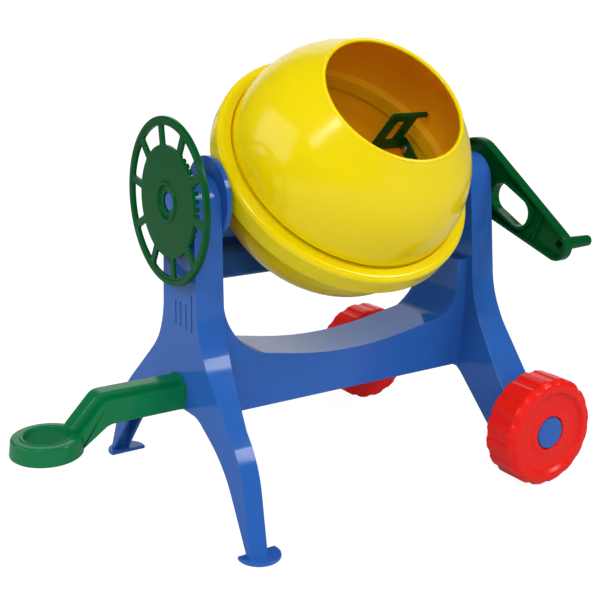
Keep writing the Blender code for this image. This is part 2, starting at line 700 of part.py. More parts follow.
def right_end_frame():
    top = post_outline(RIGHT_FLARE_HALF, RIGHT_FLARE_HEIGHT, RIGHT_FLARE_ROUND)
    top += [(LEG_END_HALF, LEG_END_TOP, LEG_END_ROUND), (LEG_END_HALF, LEG_END_BOTTOM, 0.0)]
    side = rounded(top, closed=False, step=math.radians(12))
    arch = [(LEG_END_HALF, LEG_END_BOTTOM, 0.0), (RIGHT_ARCH_HALF, RIGHT_ARCH_HEIGHT, RIGHT_ARCH_ROUND),
            (0.0, RIGHT_ARCH_HEIGHT, 0.0)]
    under = rounded(arch, closed=False, step=math.radians(12))[1:]
    body = hollowed("right_end_frame", side + under, inset(side, FRAME_WALL),
                    RIGHT_POST_INNER, RIGHT_POST_OUTER, -1)
    for sign in (-1, 1):
        inner = sorted((sign * (LEG_END_HALF - PIN_DEPTH), sign * (LEG_END_HALF - FRAME_WALL / 2)))
        fuse(body, rod("pin_boss", PIN_BOSS_RADIUS, inner[0], inner[1], "Y", ORIGIN,
                       (AXLE_X, 0, WHEEL_RADIUS), facet_shift=BOSS_SHIFT))
        reach = sorted((sign * (LEG_END_HALF - PIN_DEPTH - CUT_OVERRUN),
                        sign * (LEG_END_HALF + CUT_OVERRUN)))
        cut(body, rod("pin_bore", PIN_RADIUS + GAP, reach[0], reach[1], "Y", ORIGIN,
                      (AXLE_X, 0, WHEEL_RADIUS)))
        cut(body, screw_hole("right_frame_hole", sign * FRAME_SCREW_HALF, FRAME_SCREW_HEIGHT,
                             RIGHT_POST_INNER - CUT_OVERRUN, RIGHT_POST_INNER + CUT_OVERRUN))
    return paint(body, BLUE_PLASTIC)


def saddle_beam():
    low = LEFT_POST_INNER + GAP
    high = RIGHT_POST_INNER - GAP
    rise = math.tan(SADDLE_SLOPE)
    half_turn = math.tan((math.pi / 2 - SADDLE_SLOPE) / 2)

    def floor(x, drop=0.0):
        return SADDLE_DIP_HEIGHT + abs(x - SADDLE_DIP_X) * rise - drop

    left = low + HORN_THICKNESS
    right = high - RIGHT_HORN_THICKNESS
    left_tip = floor(left) + SADDLE_LEFT_ROUND * half_turn * HORN_STRETCH
    right_tip = floor(right) + SADDLE_RIGHT_ROUND * half_turn * HORN_STRETCH
    outline = [(low, SADDLE_BOTTOM), (low, left_tip)]
    curve = [(left, left_tip, 0.0), (left, floor(left), SADDLE_LEFT_ROUND),
             (SADDLE_DIP_X, floor(SADDLE_DIP_X), SADDLE_DIP_ROUND),
             (right, floor(right), SADDLE_RIGHT_ROUND), (right, right_tip, 0.0)]
    outline += rounded(curve, closed=False, step=math.radians(9))
    outline += [(high, right_tip), (high, SADDLE_BOTTOM)]
    body = extruded("saddle_beam", [outline], -SADDLE_HALF_WIDTH, SADDLE_HALF_WIDTH, "XZ", ORIGIN)
    drop = FRAME_WALL / math.cos(SADDLE_SLOPE)
    in_low = low + FRAME_WALL
    in_high = high - FRAME_WALL
    under = SADDLE_BOTTOM - CUT_OVERRUN
    inside = [(in_low, under, 0.0), (in_low, floor(in_low, drop), SADDLE_INSIDE_ROUND),
              (SADDLE_DIP_X, floor(SADDLE_DIP_X, drop), SADDLE_DIP_ROUND),
              (in_high, floor(in_high, drop), SADDLE_INSIDE_ROUND), (in_high, under, 0.0)]
    inner_half = SADDLE_HALF_WIDTH - FRAME_WALL
    hollow = extruded("saddle_hollow", [rounded(inside)], -inner_half, inner_half, "XZ", ORIGIN)
    lean(body)
    cut(body, lean(hollow))
    boss_length = FRAME_SCREW_LENGTH - FRAME_WALL
    for sign in (-1, 1):
        for face, way in ((low, 1), (high, -1)):
            shift = lean_shift(FRAME_SCREW_HEIGHT)
            ends = sorted((face + way * FRAME_WALL / 2, face + way * (boss_length + FRAME_WALL)))
            fuse(body, rod("screw_boss", SCREW_BOSS_RADIUS, ends[0] + shift, ends[1] + shift, "X", ORIGIN,
                           (0, sign * FRAME_SCREW_HALF, FRAME_SCREW_HEIGHT), 16, BOSS_SHIFT))
            ends = sorted((face - way * CUT_OVERRUN, face + way * FRAME_SCREW_LENGTH))
            cut(body, screw_hole("saddle_hole", sign * FRAME_SCREW_HALF, FRAME_SCREW_HEIGHT, *ends))
    return paint(body, BLUE_PLASTIC)


def frame_screws():
    shift = lean_shift(FRAME_SCREW_HEIGHT)
    left_face = LEFT_POST_INNER - FRAME_WALL - GAP
    right_face = RIGHT_POST_INNER + FRAME_WALL + GAP
    for name, sign in SIDES:
        place = (shift, sign * FRAME_SCREW_HALF, FRAME_SCREW_HEIGHT)
        screw_solid("frame_screw_left_" + name, left_face, FRAME_SCREW_LENGTH, 1, ORIGIN, place)
        screw_solid("frame_screw_right_" + name, right_face, FRAME_SCREW_LENGTH, -1, ORIGIN, place)


def drawbar():
    root = LEFT_POST_OUTER - GAP
    bend = root - DRAWBAR_RUN
    neck = bend - NECK_REACH
    under_bend = root - DRAWBAR_UNDER_RUN
    eye_edge = EYE_X + EYE_RADIUS - EYE_OVERLAP
    neck_low = EYE_BOTTOM + NECK_SINK
    neck_high = EYE_TOP - NECK_SINK
    profile = [(root, DRAWBAR_TOP, 0.0), (root, DRAWBAR_BOTTOM, 0.0),
               (under_bend, DRAWBAR_BOTTOM, UNDER_BEND_ROUND),
               (under_bend - NECK_REACH, neck_low, UNDER_NECK_ROUND),
               (eye_edge, neck_low, 0.0), (eye_edge, neck_high, 0.0),
               (neck + NECK_STEP, neck_high, NECK_ROUND), (bend, DRAWBAR_TOP, BEND_ROUND)]
    body = extruded("drawbar", [rounded(profile)], -DRAWBAR_HALF_WIDTH, DRAWBAR_HALF_WIDTH, "XZ", ORIGIN)
    crest = DRAWBAR_TOP + RIDGE_HEIGHT
    core = DRAWBAR_TOP - RIDGE_HEIGHT
    ridge_root = root - RIDGE_START
    ridge_line = [(ridge_root, crest, 0.0), (ridge_root, core, 0.0), (bend + RIDGE_SHIFT, core, BEND_ROUND),
                  (neck + NECK_ROUND, EYE_TOP - RIDGE_END_DEPTH, NECK_STEP),
                  (neck - RIDGE_END_ROUND, EYE_TOP + RIDGE_END_RISE, RIDGE_END_ROUND),
                  (bend - RIDGE_SHIFT, crest, BEND_ROUND)]
    ridge = extruded("drawbar_ridge", [rounded(ridge_line)], -RIDGE_HALF_WIDTH, RIDGE_HALF_WIDTH,
                     "XZ", ORIGIN)
    eye = rod("drawbar_eye", EYE_RADIUS, EYE_BOTTOM, EYE_TOP, "Z", ORIGIN, (EYE_X, 0, 0), 40, BOSS_SHIFT)
    hole = rod("drawbar_eye_hole", EYE_HOLE_RADIUS, EYE_BOTTOM - CUT_OVERRUN, EYE_TOP + CUT_OVERRUN,
               "Z", ORIGIN, (EYE_X, 0, 0), 40)
    fuse(lean(body), lean(ridge), lean(eye))
    cut(body, lean(hole))
    for sign in (-1, 1):
        cut(body, screw_hole("drawbar_thread", sign * DRAWBAR_SCREW_HALF, DRAWBAR_SCREW_HEIGHT,
                             root - DRAWBAR_SCREW_LENGTH, root + CUT_OVERRUN))
    return paint(body, GREEN_PLASTIC)


def drawbar_screws():
    shift = lean_shift(DRAWBAR_SCREW_HEIGHT)
    face = LEFT_POST_OUTER + FRAME_WALL + GAP
    for name, sign in SIDES:
        place = (shift, sign * DRAWBAR_SCREW_HALF, DRAWBAR_SCREW_HEIGHT)
        screw_solid("drawbar_screw_" + name, face, DRAWBAR_SCREW_LENGTH, -1, ORIGIN, place)


def road_wheel(name, sign):
    inner = WHEEL_INNER_FACE
    outer = inner + WHEEL_WIDTH
    seat = outer - PIN_HEAD_HEIGHT - GAP
    floor = outer - WHEEL_FACE_DEPTH
    edge = WHEEL_EDGE
    bore = PIN_RADIUS + RUN_GAP
    ring_in = PIN_HEAD_RADIUS + RUN_GAP
    ring_out = PIN_HEAD_RADIUS + HUB_RING_WIDTH
    section = [(bore, inner), (WHEEL_RADIUS - edge, inner), (WHEEL_RADIUS, inner + edge),
               (WHEEL_RADIUS, outer - edge), (WHEEL_RADIUS - edge, outer), (WHEEL_FACE_RADIUS, outer),
               (WHEEL_FACE_RADIUS - edge, floor), (ring_out + HUB_RING_SLOPE, floor),
               (ring_out, floor + HUB_RING_HEIGHT), (ring_in, floor + HUB_RING_HEIGHT),
               (ring_in, seat), (bore, seat)]
    section = [(radius, sign * height) for radius, height in section]
    body = turned(name, section, WHEEL_STEPS, WHEEL_AXIS[sign], "Y")
    gaps = []
    reach = sorted((sign * (inner - CUT_OVERRUN), sign * (outer - LUG_MARGIN)))
    for index in range(WHEEL_LUGS):
        gap = block("lug_gap", (-LUG_GAP_WIDTH / 2, reach[0], WHEEL_RADIUS - LUG_DEPTH),
                    (LUG_GAP_WIDTH / 2, reach[1], WHEEL_RADIUS + CUT_OVERRUN), WHEEL_AXIS[sign])
        turn_about("Y", gap, 2 * math.pi * (index + 0.5) / WHEEL_LUGS)
        gaps.append(gap)
    cut(body, joined(name + "_lug_gaps", gaps, WHEEL_AXIS[sign]))
    return paint(body, RED_PLASTIC)


def turn_about(axis, piece, angle):
    piece.data.transform(Matrix.Rotation(angle, 4, axis))


def wheel_pin(name, sign):
    tip = LEG_END_HALF - PIN_DEPTH
    seat = WHEEL_INNER_FACE + WHEEL_WIDTH - PIN_HEAD_HEIGHT
    top = WHEEL_INNER_FACE + WHEEL_WIDTH - WHEEL_FACE_DEPTH + PIN_CROWN
    section = [(0.0, tip), (PIN_RADIUS, tip), (PIN_RADIUS, seat), (PIN_HEAD_RADIUS, seat),
               (PIN_HEAD_RADIUS, top - PIN_EDGE), (PIN_HEAD_RADIUS - PIN_EDGE, top), (0.0, top)]
    section = [(radius, sign * height) for radius, height in section]
    return paint(turned(name, section, 24, WHEEL_AXIS[sign], "Y"), BLUE_PLASTIC)


def drum_bowl():
    wall = DRUM_WALL
    flange = BAND_TOP - BAND_STEP
    inner_side = BOWL_RADIUS - wall
    outside = [(HUB_RADIUS, BOWL_BOTTOM - HUB_FILLET, 0.0),
               (BOWL_FLOOR_RADIUS, BOWL_BOTTOM, BOWL_FLOOR_ROUND),
               (BOWL_RADIUS, BOWL_CONE_TOP, BOWL_SIDE_ROUND), (BOWL_RADIUS, flange - wall, 0.0)]
    skirt = [(BAND_RADIUS - wall, flange - wall, 0.0), (BAND_RADIUS - wall, BAND_BOTTOM, 0.0),
             (BAND_RADIUS, BAND_BOTTOM, 0.0), (BAND_RADIUS, BAND_TOP, BAND_ROUND),
             (SEAM_RADIUS + BAND_SLOPE_WIDTH, BAND_TOP - BAND_SLOPE_DROP, 0.0), (SEAM_RADIUS, flange, 0.0)]
    inside = [(inner_side, flange, 0.0), (inner_side, BOWL_CONE_TOP, BOWL_SIDE_ROUND - wall),
              (BOWL_FLOOR_RADIUS, BOWL_BOTTOM + wall, BOWL_FLOOR_ROUND - wall),
              (AXLE_RADIUS + RUN_GAP, BOWL_BOTTOM + wall, 0.0)]
    hub = [(AXLE_RADIUS + RUN_GAP, BOWL_BOTTOM - HUB_LENGTH), (HUB_RADIUS, BOWL_BOTTOM - HUB_LENGTH)]
    outline = rounded(outside, closed=False) + rounded(skirt, closed=False, step=math.radians(30))
    outline += rounded(inside, closed=False) + hub
    body = turned("drum_bowl", outline, DRUM_STEPS, TILT)
    for spot in paddle_screw_spots():
        side = abs(spot[1]) + PADDLE_BOSS_RADIUS
        reach = math.sqrt((BOWL_RADIUS - PADDLE_BOSS_COVER) ** 2 - side ** 2)
        fuse(body, rod("paddle_boss", PADDLE_BOSS_RADIUS, PADDLE_FACE, reach, "X", TILT, spot, 16,
                       BOSS_SHIFT))
        cut(body, rod("paddle_boss_hole", SCREW_HOLE_RADIUS, PADDLE_FACE - CUT_OVERRUN,
                      PADDLE_FACE + PADDLE_SCREW_LENGTH - PADDLE_THICKNESS, "X", TILT, spot, 12))
    return paint(body, YELLOW_PLASTIC)


def dome_curve(inwards):
    """Outer or inner line of the dome, from its foot up to the mouth, as an arc and a tangent."""
    bend = DOME_ROUND - inwards
    middle = DOME_RADIUS - DOME_ROUND
    mouth = Vector((MOUTH_RADIUS - inwards * 0.7 - middle, MOUTH_HEIGHT - inwards * 0.5 - DOME_CENTRE))
    leave = math.atan2(mouth.y, mouth.x) - math.acos(min(1.0, bend / mouth.length))
    steps = 6
    angles = [leave * index / steps for index in range(steps + 1)]
    points = [(middle + bend * math.cos(a), DOME_CENTRE + bend * math.sin(a)) for a in angles]
    points.append((middle + mouth.x, DOME_CENTRE + mouth.y))
    return points


def drum_shell():
    wall = DRUM_WALL
    foot = BAND_TOP - BAND_STEP + GAP
    spigot = BOWL_RADIUS - wall - GAP
    outer = [(SEAM_RADIUS, foot), (SEAM_RADIUS, foot + SHELL_FOOT_HEIGHT)] + dome_curve(0.0)
    inner = [(spigot, foot), (spigot, foot - SPIGOT_DEPTH), (spigot - wall, foot - SPIGOT_DEPTH),
             (spigot - wall, foot + SPIGOT_STEP)] + dome_curve(wall)[1:]
    return paint(turned("drum_shell", inner + outer[::-1], DRUM_STEPS, TILT), YELLOW_PLASTIC)


def crown_gear():
    top = BAND_TOP - BAND_STEP - DRUM_WALL - GAP
    base = CROWN_ROOT
    section = [(CROWN_INNER, base), (CROWN_INNER, top), (CROWN_INNER + CROWN_WALL, top),
               (CROWN_INNER + CROWN_WALL, base + CROWN_PLATE), (CROWN_OUTER, base + CROWN_PLATE),
               (CROWN_OUTER, base)]
    body = turned("crown_gear", section, DRUM_STEPS, TILT)
    pitch = 2 * math.pi * (CROWN_INNER + CROWN_OUTER) / 2 / CROWN_TEETH
    root_half = CROWN_ROOT_SHARE * pitch
    tip_half = CROWN_TIP_SHARE * pitch
    edge = TOOTH_EDGE
    teeth = []
    for index in range(CROWN_TEETH):
        shape = [(-root_half, base + edge), (-tip_half, CROWN_TIP), (tip_half, CROWN_TIP),
                 (root_half, base + edge)]
        tooth = extruded("crown_tooth", [shape], CROWN_INNER + edge, CROWN_OUTER - edge, "YZ", TILT)
        turn_about("Z", tooth, 2 * math.pi * (index + 0.5) / CROWN_TEETH)
        teeth.append(tooth)
    fuse(body, joined("crown_teeth", teeth, TILT))
    return paint(body, GREEN_PLASTIC)


def drive_pinion():
    pitch = 2 * math.pi * PINION_PITCH_RADIUS / PINION_TEETH
    root = PINION_PITCH_RADIUS - TOOTH_FALL
    outline = []
    for index in range(PINION_TEETH):
        middle = math.pi / 2 + 2 * math.pi * index / PINION_TEETH
        for radius, share in ((root, PINION_ROOT_SHARE), (PINION_OUTER_RADIUS, PINION_TIP_SHARE),
                              (PINION_OUTER_RADIUS, -PINION_TIP_SHARE), (root, -PINION_ROOT_SHARE)):
            angle = middle - share * pitch / radius
            outline.append((radius * math.cos(angle), radius * math.sin(angle)))
    bore = circle(0.0, 0.0, SHAFT_RADIUS + GAP)
    body = extruded("drive_pinion", [outline, bore], PINION_START, PINION_START + PINION_WIDTH, "YZ", TILT)
    return paint(body, GREEN_PLASTIC)


def slot_outline(sign, margin):
    """Round-ended slot in the yoke's bar, or the outline of the pan round it."""
    half = YOKE_SLOT_WIDTH / 2 + margin
    reach = YOKE_SLOT_LENGTH / 2 + margin
    left = sign * YOKE_SLOT_X - reach
    right = sign * YOKE_SLOT_X + reach
    low = YOKE_SLOT_SIDE - half
    high = YOKE_SLOT_SIDE + half
    corners = [(left, low, half), (right, low, half), (right, high, half), (left, high, half)]
    return rounded(corners, step=math.radians(30))


def yoke():
    bottom = YOKE_BAR_BOTTOM
    inner_length = YOKE_BAR_HALF_LENGTH - YOKE_THICKNESS
    inside_round = YOKE_CORNER_ROUND - YOKE_THICKNESS
    outline = [(ARM_OUTER, YOKE_ARM_TOP, 0.0), (ARM_OUTER, YOKE_ARM_KNEE, YOKE_KNEE_ROUND),
               (YOKE_BAR_HALF_LENGTH, bottom, YOKE_CORNER_ROUND),
               (-YOKE_BAR_HALF_LENGTH, bottom, YOKE_CORNER_ROUND),
               (-ARM_OUTER, YOKE_ARM_KNEE, YOKE_KNEE_ROUND), (-ARM_OUTER, YOKE_ARM_TOP, 0.0),
               (-ARM_INNER, YOKE_ARM_TOP, 0.0), (-ARM_INNER, YOKE_ARM_KNEE, YOKE_KNEE_ROUND),
               (-inner_length, YOKE_BAR_TOP, inside_round), (inner_length, YOKE_BAR_TOP, inside_round),
               (ARM_INNER, YOKE_ARM_KNEE, YOKE_KNEE_ROUND), (ARM_INNER, YOKE_ARM_TOP, 0.0)]
    body = extruded("yoke", [rounded(outline, step=math.radians(25))], -YOKE_HALF_WIDTH, YOKE_HALF_WIDTH,
                    "XZ", TILT)
    for low, high in ((-ARM_OUTER, -ARM_INNER), (ARM_INNER, ARM_OUTER)):
        fuse(body, rod("yoke_disc", YOKE_DISC_RADIUS, low - YOKE_DISC_PROUD, high + YOKE_DISC_PROUD, "X",
                       TILT, (0, 0, 0), 36))
    pan_bottom = bottom - YOKE_PAN_DEPTH
    for sign in (-1, 1):
        fuse(body, extruded("yoke_pan", [slot_outline(sign, YOKE_PAN_WALL)], pan_bottom,
                            bottom + OVERLAP, "XY", TILT))
        cut(body, extruded("yoke_slot", [slot_outline(sign, 0.0)], pan_bottom + YOKE_PAN_WALL,
                           YOKE_BAR_TOP + CUT_OVERRUN, "XY", TILT))
    cut(body, rod("axle_hole", AXLE_RADIUS + GAP, bottom - CUT_OVERRUN, YOKE_BAR_TOP + CUT_OVERRUN,
                  "Z", TILT))
    cut(body, rod("left_hole", SPIGOT_RADIUS + GAP, -ARM_OUTER - CUT_OVERRUN, -ARM_INNER + CUT_OVERRUN,
                  "X", TILT))
    arm_cut = (ARM_INNER - CUT_OVERRUN, ARM_OUTER + CUT_OVERRUN)
    cut(body, rod("shaft_hole", SHAFT_RADIUS + RUN_GAP, *arm_cut, "X", TILT))
    for sign in (-1, 1):
        cut(body, rod("sleeve_hole", SCREW_HOLE_RADIUS, *arm_cut, "X", TILT,
                      (0, sign * SLEEVE_SCREW_SIDE, 0), 12))
    return paint(body, BLUE_PLASTIC)


def left_trunnion():
    inner = -ARM_OUTER - GAP
    tip = -ARM_INNER - TRUNNION_SPIGOT_GAP
    shoulder = HANDWHEEL_PLANE + HANDWHEEL_PLATE + DETENT_LENGTH
    end = HANDWHEEL_PLANE + TRUNNION_RECESS
    thread = inner - TRUNNION_THREAD
    section = [(SCREW_HOLE_RADIUS, tip), (SPIGOT_RADIUS, tip), (SPIGOT_RADIUS, inner),
               (TRUNNION_RADIUS, inner), (TRUNNION_RADIUS, shoulder), (HAND_SEAT_RADIUS, shoulder),
               (HAND_SEAT_RADIUS, end), (0.0, end), (0.0, thread), (SCREW_HOLE_RADIUS, thread)]
    return paint(turned("left_trunnion", section, 28, TILT, "X"), BLUE_PLASTIC)


def left_trunnion_screw():
    return screw_solid("left_trunnion_screw", GAP - ARM_INNER, TRUNNION_SCREW_LENGTH, -1, TILT, (0, 0, 0))


def handwheel():
    plate_out = HANDWHEEL_PLANE
    plate_in = plate_out + HANDWHEEL_PLATE
    hub_end = plate_out - HAND_HUB_LENGTH
    bore = HAND_SEAT_RADIUS + GAP
    rim_in = HANDWHEEL_RADIUS - HANDWHEEL_RIM
    rim_face = rim_in + HANDWHEEL_EDGE
    lip = HANDWHEEL_LIP
    detent_end = plate_in + DETENT_LENGTH
    section = [(bore, hub_end), (HAND_HUB_RADIUS - HAND_HUB_EDGE, hub_end),
               (HAND_HUB_RADIUS, hub_end + HAND_HUB_EDGE), (HAND_HUB_RADIUS, plate_out),
               (rim_in, plate_out), (rim_face, plate_out - lip), (HANDWHEEL_RADIUS, plate_out - lip),
               (HANDWHEEL_RADIUS, plate_in + lip), (rim_face, plate_in + lip), (rim_in, plate_in),
               (DETENT_RADIUS, plate_in), (DETENT_RADIUS, detent_end),
               (DETENT_RADIUS - DETENT_WALL, detent_end), (DETENT_RADIUS - DETENT_WALL, plate_in),
               (bore, plate_in)]
    body = turned("handwheel", section, WHEEL_STEPS, TILT, "X")
    windows = []
    sector = 2 * math.pi / WINDOW_COUNT
    for index in range(WINDOW_COUNT):
        middle = sector * (index + 0.5)
        inner_half = sector / 2 - SPOKE_WIDTH / 2 / WINDOW_INNER
        outer_half = sector / 2 - SPOKE_WIDTH / 2 / WINDOW_OUTER
        turns = (-1.0, -0.33, 0.33, 1.0)
        outline = [(WINDOW_OUTER, middle + outer_half * turn) for turn in turns]
        outline += [(WINDOW_INNER, middle + inner_half * turn) for turn in reversed(turns)]
        flat = [(radius * math.cos(angle), radius * math.sin(angle)) for radius, angle in outline]
        windows.append(extruded("window", [flat], plate_out - CUT_OVERRUN, plate_in + CUT_OVERRUN,
                                "YZ", TILT))
    cut(body, joined("handwheel_windows", windows, TILT))
    return paint(body, GREEN_PLASTIC)


def right_trunnion_sleeve():
    face = ARM_OUTER + GAP
    shoulder = RIGHT_POST_INNER - RUN_GAP
    end = RIGHT_POST_OUTER + TRUNNION_END
    bore = SHAFT_RADIUS + RUN_GAP
    section = [(bore, face), (SLEEVE_FLANGE_RADIUS, face), (SLEEVE_FLANGE_RADIUS, shoulder),
               (TRUNNION_RADIUS, shoulder), (TRUNNION_RADIUS, end), (bore, end)]
    body = turned("right_trunnion_sleeve", section, 28, TILT, "X")
    for sign in (-1, 1):
        cut(body, rod("sleeve_thread", SCREW_HOLE_RADIUS, face - CUT_OVERRUN, face + SLEEVE_THREAD,
                      "X", TILT, (0, sign * SLEEVE_SCREW_SIDE, 0), 12))
    return paint(body, BLUE_PLASTIC)


def sleeve_screws():
    for name, sign in SIDES:
        place = (0, sign * SLEEVE_SCREW_SIDE, 0)
        screw_solid("sleeve_screw_" + name, ARM_INNER - GAP, SLEEVE_SCREW_LENGTH, 1, TILT, place)


def crank_shaft():
    start = PINION_START - SHAFT_START
    end = CRANK_OUTER - CRANK_WALL - GAP
    thread = end - SHAFT_THREAD
    section = [(0.0, start), (SHAFT_RADIUS, start), (SHAFT_RADIUS, end), (SCREW_HOLE_RADIUS, end),
               (SCREW_HOLE_RADIUS, thread), (0.0, thread)]
    return paint(turned("crank_shaft", section, PIN_STEPS, CRANK_AXIS, "X"), BLUE_PLASTIC)


def teardrop(hub_round, end_round):
    """Outline round the hub and the peg end, with straight sides between them."""
    spread = math.asin((hub_round - end_round) / CRANK_LENGTH)
    points = []
    for index in range(19):
        angle = math.pi / 2 - spread + (math.pi + 2 * spread) * index / 18
        points.append((hub_round * math.cos(angle), hub_round * math.sin(angle)))
    for index in range(11):
        angle = spread - math.pi / 2 + (math.pi - 2 * spread) * index / 10
        points.append((CRANK_LENGTH + end_round * math.cos(angle), end_round * math.sin(angle)))
    return points


def oval(margin):
    """The crank's long hole, or the wall round it."""
    half = CRANK_HOLE_HALF_WIDTH + margin
    near = CRANK_HOLE_DISTANCE - CRANK_HOLE_HALF_LENGTH - margin
    far = CRANK_HOLE_DISTANCE + CRANK_HOLE_HALF_LENGTH + margin
    return rounded([(near, -half, half), (far, -half, half), (far, half, half), (near, half, half)])


def crank():
    body = extruded("crank", [teardrop(CRANK_HUB_ROUND, CRANK_END_ROUND)], CRANK_INNER, CRANK_OUTER, "YZ",
                    CRANK_AXIS)
    web = CRANK_OUTER - CRANK_WALL
    into_web = web + OVERLAP
    tray = extruded("crank_tray", [teardrop(CRANK_HUB_ROUND - CRANK_WALL, CRANK_END_ROUND - CRANK_WALL)],
                    CRANK_INNER - CUT_OVERRUN, web, "YZ", CRANK_AXIS)
    cut(body, tray)
    ring = extruded("crank_ring", [oval(CRANK_WALL)], CRANK_INNER, into_web, "YZ", CRANK_AXIS)
    boss = rod("crank_boss", CRANK_BOSS_RADIUS, RIGHT_POST_OUTER + CRANK_BOSS_CLEARANCE, into_web, "X",
               CRANK_AXIS, facet_shift=BOSS_SHIFT)
    half = CRANK_END_ROUND + CRANK_RIB_REACH
    rib = block("crank_rib", (CRANK_INNER + CRANK_RIB_STEP, CRANK_RIB_DISTANCE, -half),
                (into_web, CRANK_RIB_DISTANCE + CRANK_RIB_THICKNESS, half), CRANK_AXIS)
    peg_root = CRANK_OUTER - OVERLAP
    peg_section = [(0.0, PEG_TIP), (PEG_TIP_RADIUS - PEG_EDGE_WIDTH, PEG_TIP),
                   (PEG_TIP_RADIUS, PEG_TIP - PEG_EDGE_HEIGHT), (PEG_ROOT_RADIUS, peg_root),
                   (0.0, peg_root)]
    peg = turned("crank_peg", peg_section, PIN_STEPS, CRANK_AXIS, "X")
    peg.data.transform(matrix_at((0, CRANK_LENGTH, 0)))
    fuse(body, ring, boss, rib, peg)
    hole = extruded("crank_hole", [oval(0.0)], CRANK_INNER - CUT_OVERRUN, CRANK_OUTER + CUT_OVERRUN, "YZ",
                    CRANK_AXIS)
    bore = rod("crank_bore", SHAFT_RADIUS + GAP, RIGHT_POST_OUTER - CUT_OVERRUN, web + GAP, "X",
               CRANK_AXIS)
    screw_way = rod("crank_screw_hole", SCREW_HOLE_RADIUS, web - CUT_OVERRUN, CRANK_OUTER + CUT_OVERRUN,
                    "X", CRANK_AXIS, (0, 0, 0), 12)
    cut(body, hole, bore, screw_way)
    return paint(body, GREEN_PLASTIC)


def crank_screw():
    return screw_solid("crank_screw", CRANK_OUTER + GAP, CRANK_SCREW_LENGTH, -1, CRANK_AXIS, (0, 0, 0))


def drum_axle():
    head_top = YOKE_BAR_BOTTOM - GAP
    head_bottom = head_top - AXLE_HEAD_HEIGHT
    section = [(0.0, head_bottom), (AXLE_HEAD_RADIUS, head_bottom), (AXLE_HEAD_RADIUS, head_top),
               (AXLE_RADIUS, head_top), (AXLE_RADIUS, AXLE_TIP), (0.0, AXLE_TIP)]
    return paint(turned("drum_axle", section, 24, TILT), BLUE_PLASTIC)


def axle_cap():
    low = BOWL_BOTTOM + DRUM_WALL + RUN_GAP
    top = low + AXLE_CAP_HEIGHT
    bore = AXLE_RADIUS + GAP
    bore_top = AXLE_TIP + GAP
    edge = AXLE_CAP_EDGE
    section = [(bore, low), (AXLE_CAP_RADIUS, low), (AXLE_CAP_RADIUS, top - edge),
               (AXLE_CAP_RADIUS - edge, top), (0.0, top), (0.0, bore_top), (bore, bore_top)]
    return paint(turned("axle_cap", section, 24, TILT), BLUE_PLASTIC)


def paddle_screw_spots():
    low = PADDLE_SIDE - PADDLE_FOOT_LENGTH + PADDLE_SCREW_FAR
    high = PADDLE_SIDE - PADDLE_SCREW_NEAR
    middle = PADDLE_LOW + PADDLE_FOOT_HEIGHT / 2
    return [(0, low, middle), (0, high, middle)]


def mixing_paddle():
    bar = PADDLE_BAR
    face = PADDLE_FACE - GAP
    arm_end = face + PADDLE_ARM_REACH
    arm_low = PADDLE_HIGH - bar / 2
    sill = PADDLE_LOW + PADDLE_FOOT_HEIGHT
    lintel = PADDLE_HIGH - bar
    low_side = PADDLE_SIDE - PADDLE_THICKNESS / 2
    high_side = PADDLE_SIDE + PADDLE_THICKNESS / 2
    frame = [(PADDLE_INNER, PADDLE_LOW), (face, PADDLE_LOW), (face, sill),
             (PADDLE_OUTER, sill + PADDLE_FOOT_RAMP), (PADDLE_OUTER, arm_low), (arm_end, arm_low),
             (arm_end, PADDLE_HIGH), (PADDLE_INNER, PADDLE_HIGH)]
    window = [(PADDLE_INNER + bar, sill), (PADDLE_OUTER - bar, sill), (PADDLE_OUTER - bar, lintel),
              (PADDLE_INNER + bar, lintel)]
    body = extruded("mixing_paddle", [frame, window], low_side, high_side, "XZ", TILT)
    foot = block("paddle_foot", (face - PADDLE_THICKNESS, PADDLE_SIDE - PADDLE_FOOT_LENGTH, PADDLE_LOW),
                 (face, low_side + OVERLAP, sill), TILT)
    fuse(body, foot)
    for spot in paddle_screw_spots():
        cut(body, rod("paddle_hole", SCREW_HOLE_RADIUS, face - PADDLE_THICKNESS - CUT_OVERRUN,
                      face + CUT_OVERRUN, "X", TILT, spot, 12))
    return paint(body, GREEN_PLASTIC)


def paddle_screws():
    head = PADDLE_FACE - PADDLE_THICKNESS - 2 * GAP
    for (name, _), spot in zip(SIDES, paddle_screw_spots()):
        screw_solid("paddle_screw_" + name, head, PADDLE_SCREW_LENGTH, 1, TILT, spot)


left_end_frame()
right_end_frame()
saddle_beam()
frame_screws()
drawbar()
drawbar_screws()
for end_name, end_sign in SIDES:
    road_wheel(end_name + "_wheel", end_sign)
    wheel_pin(end_name + "_wheel_pin", end_sign)
drum_bowl()
drum_shell()
crown_gear()
drive_pinion()
yoke()
left_trunnion()
left_trunnion_screw()
handwheel()
right_trunnion_sleeve()
sleeve_screws()
crank_shaft()
crank()
crank_screw()
drum_axle()
axle_cap()
mixing_paddle()
paddle_screws()
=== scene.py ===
"""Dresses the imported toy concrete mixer: fine moulded pieces over its nodes, plastics, studio.

Sizes are millimetres in the model frame (x = 0 at the drum's middle, floor at z = 0), and MODEL,
DRUM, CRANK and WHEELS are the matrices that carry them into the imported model's frame in metres.
"""
import json
import math

import bmesh
import bpy
from mathutils import Matrix, Vector


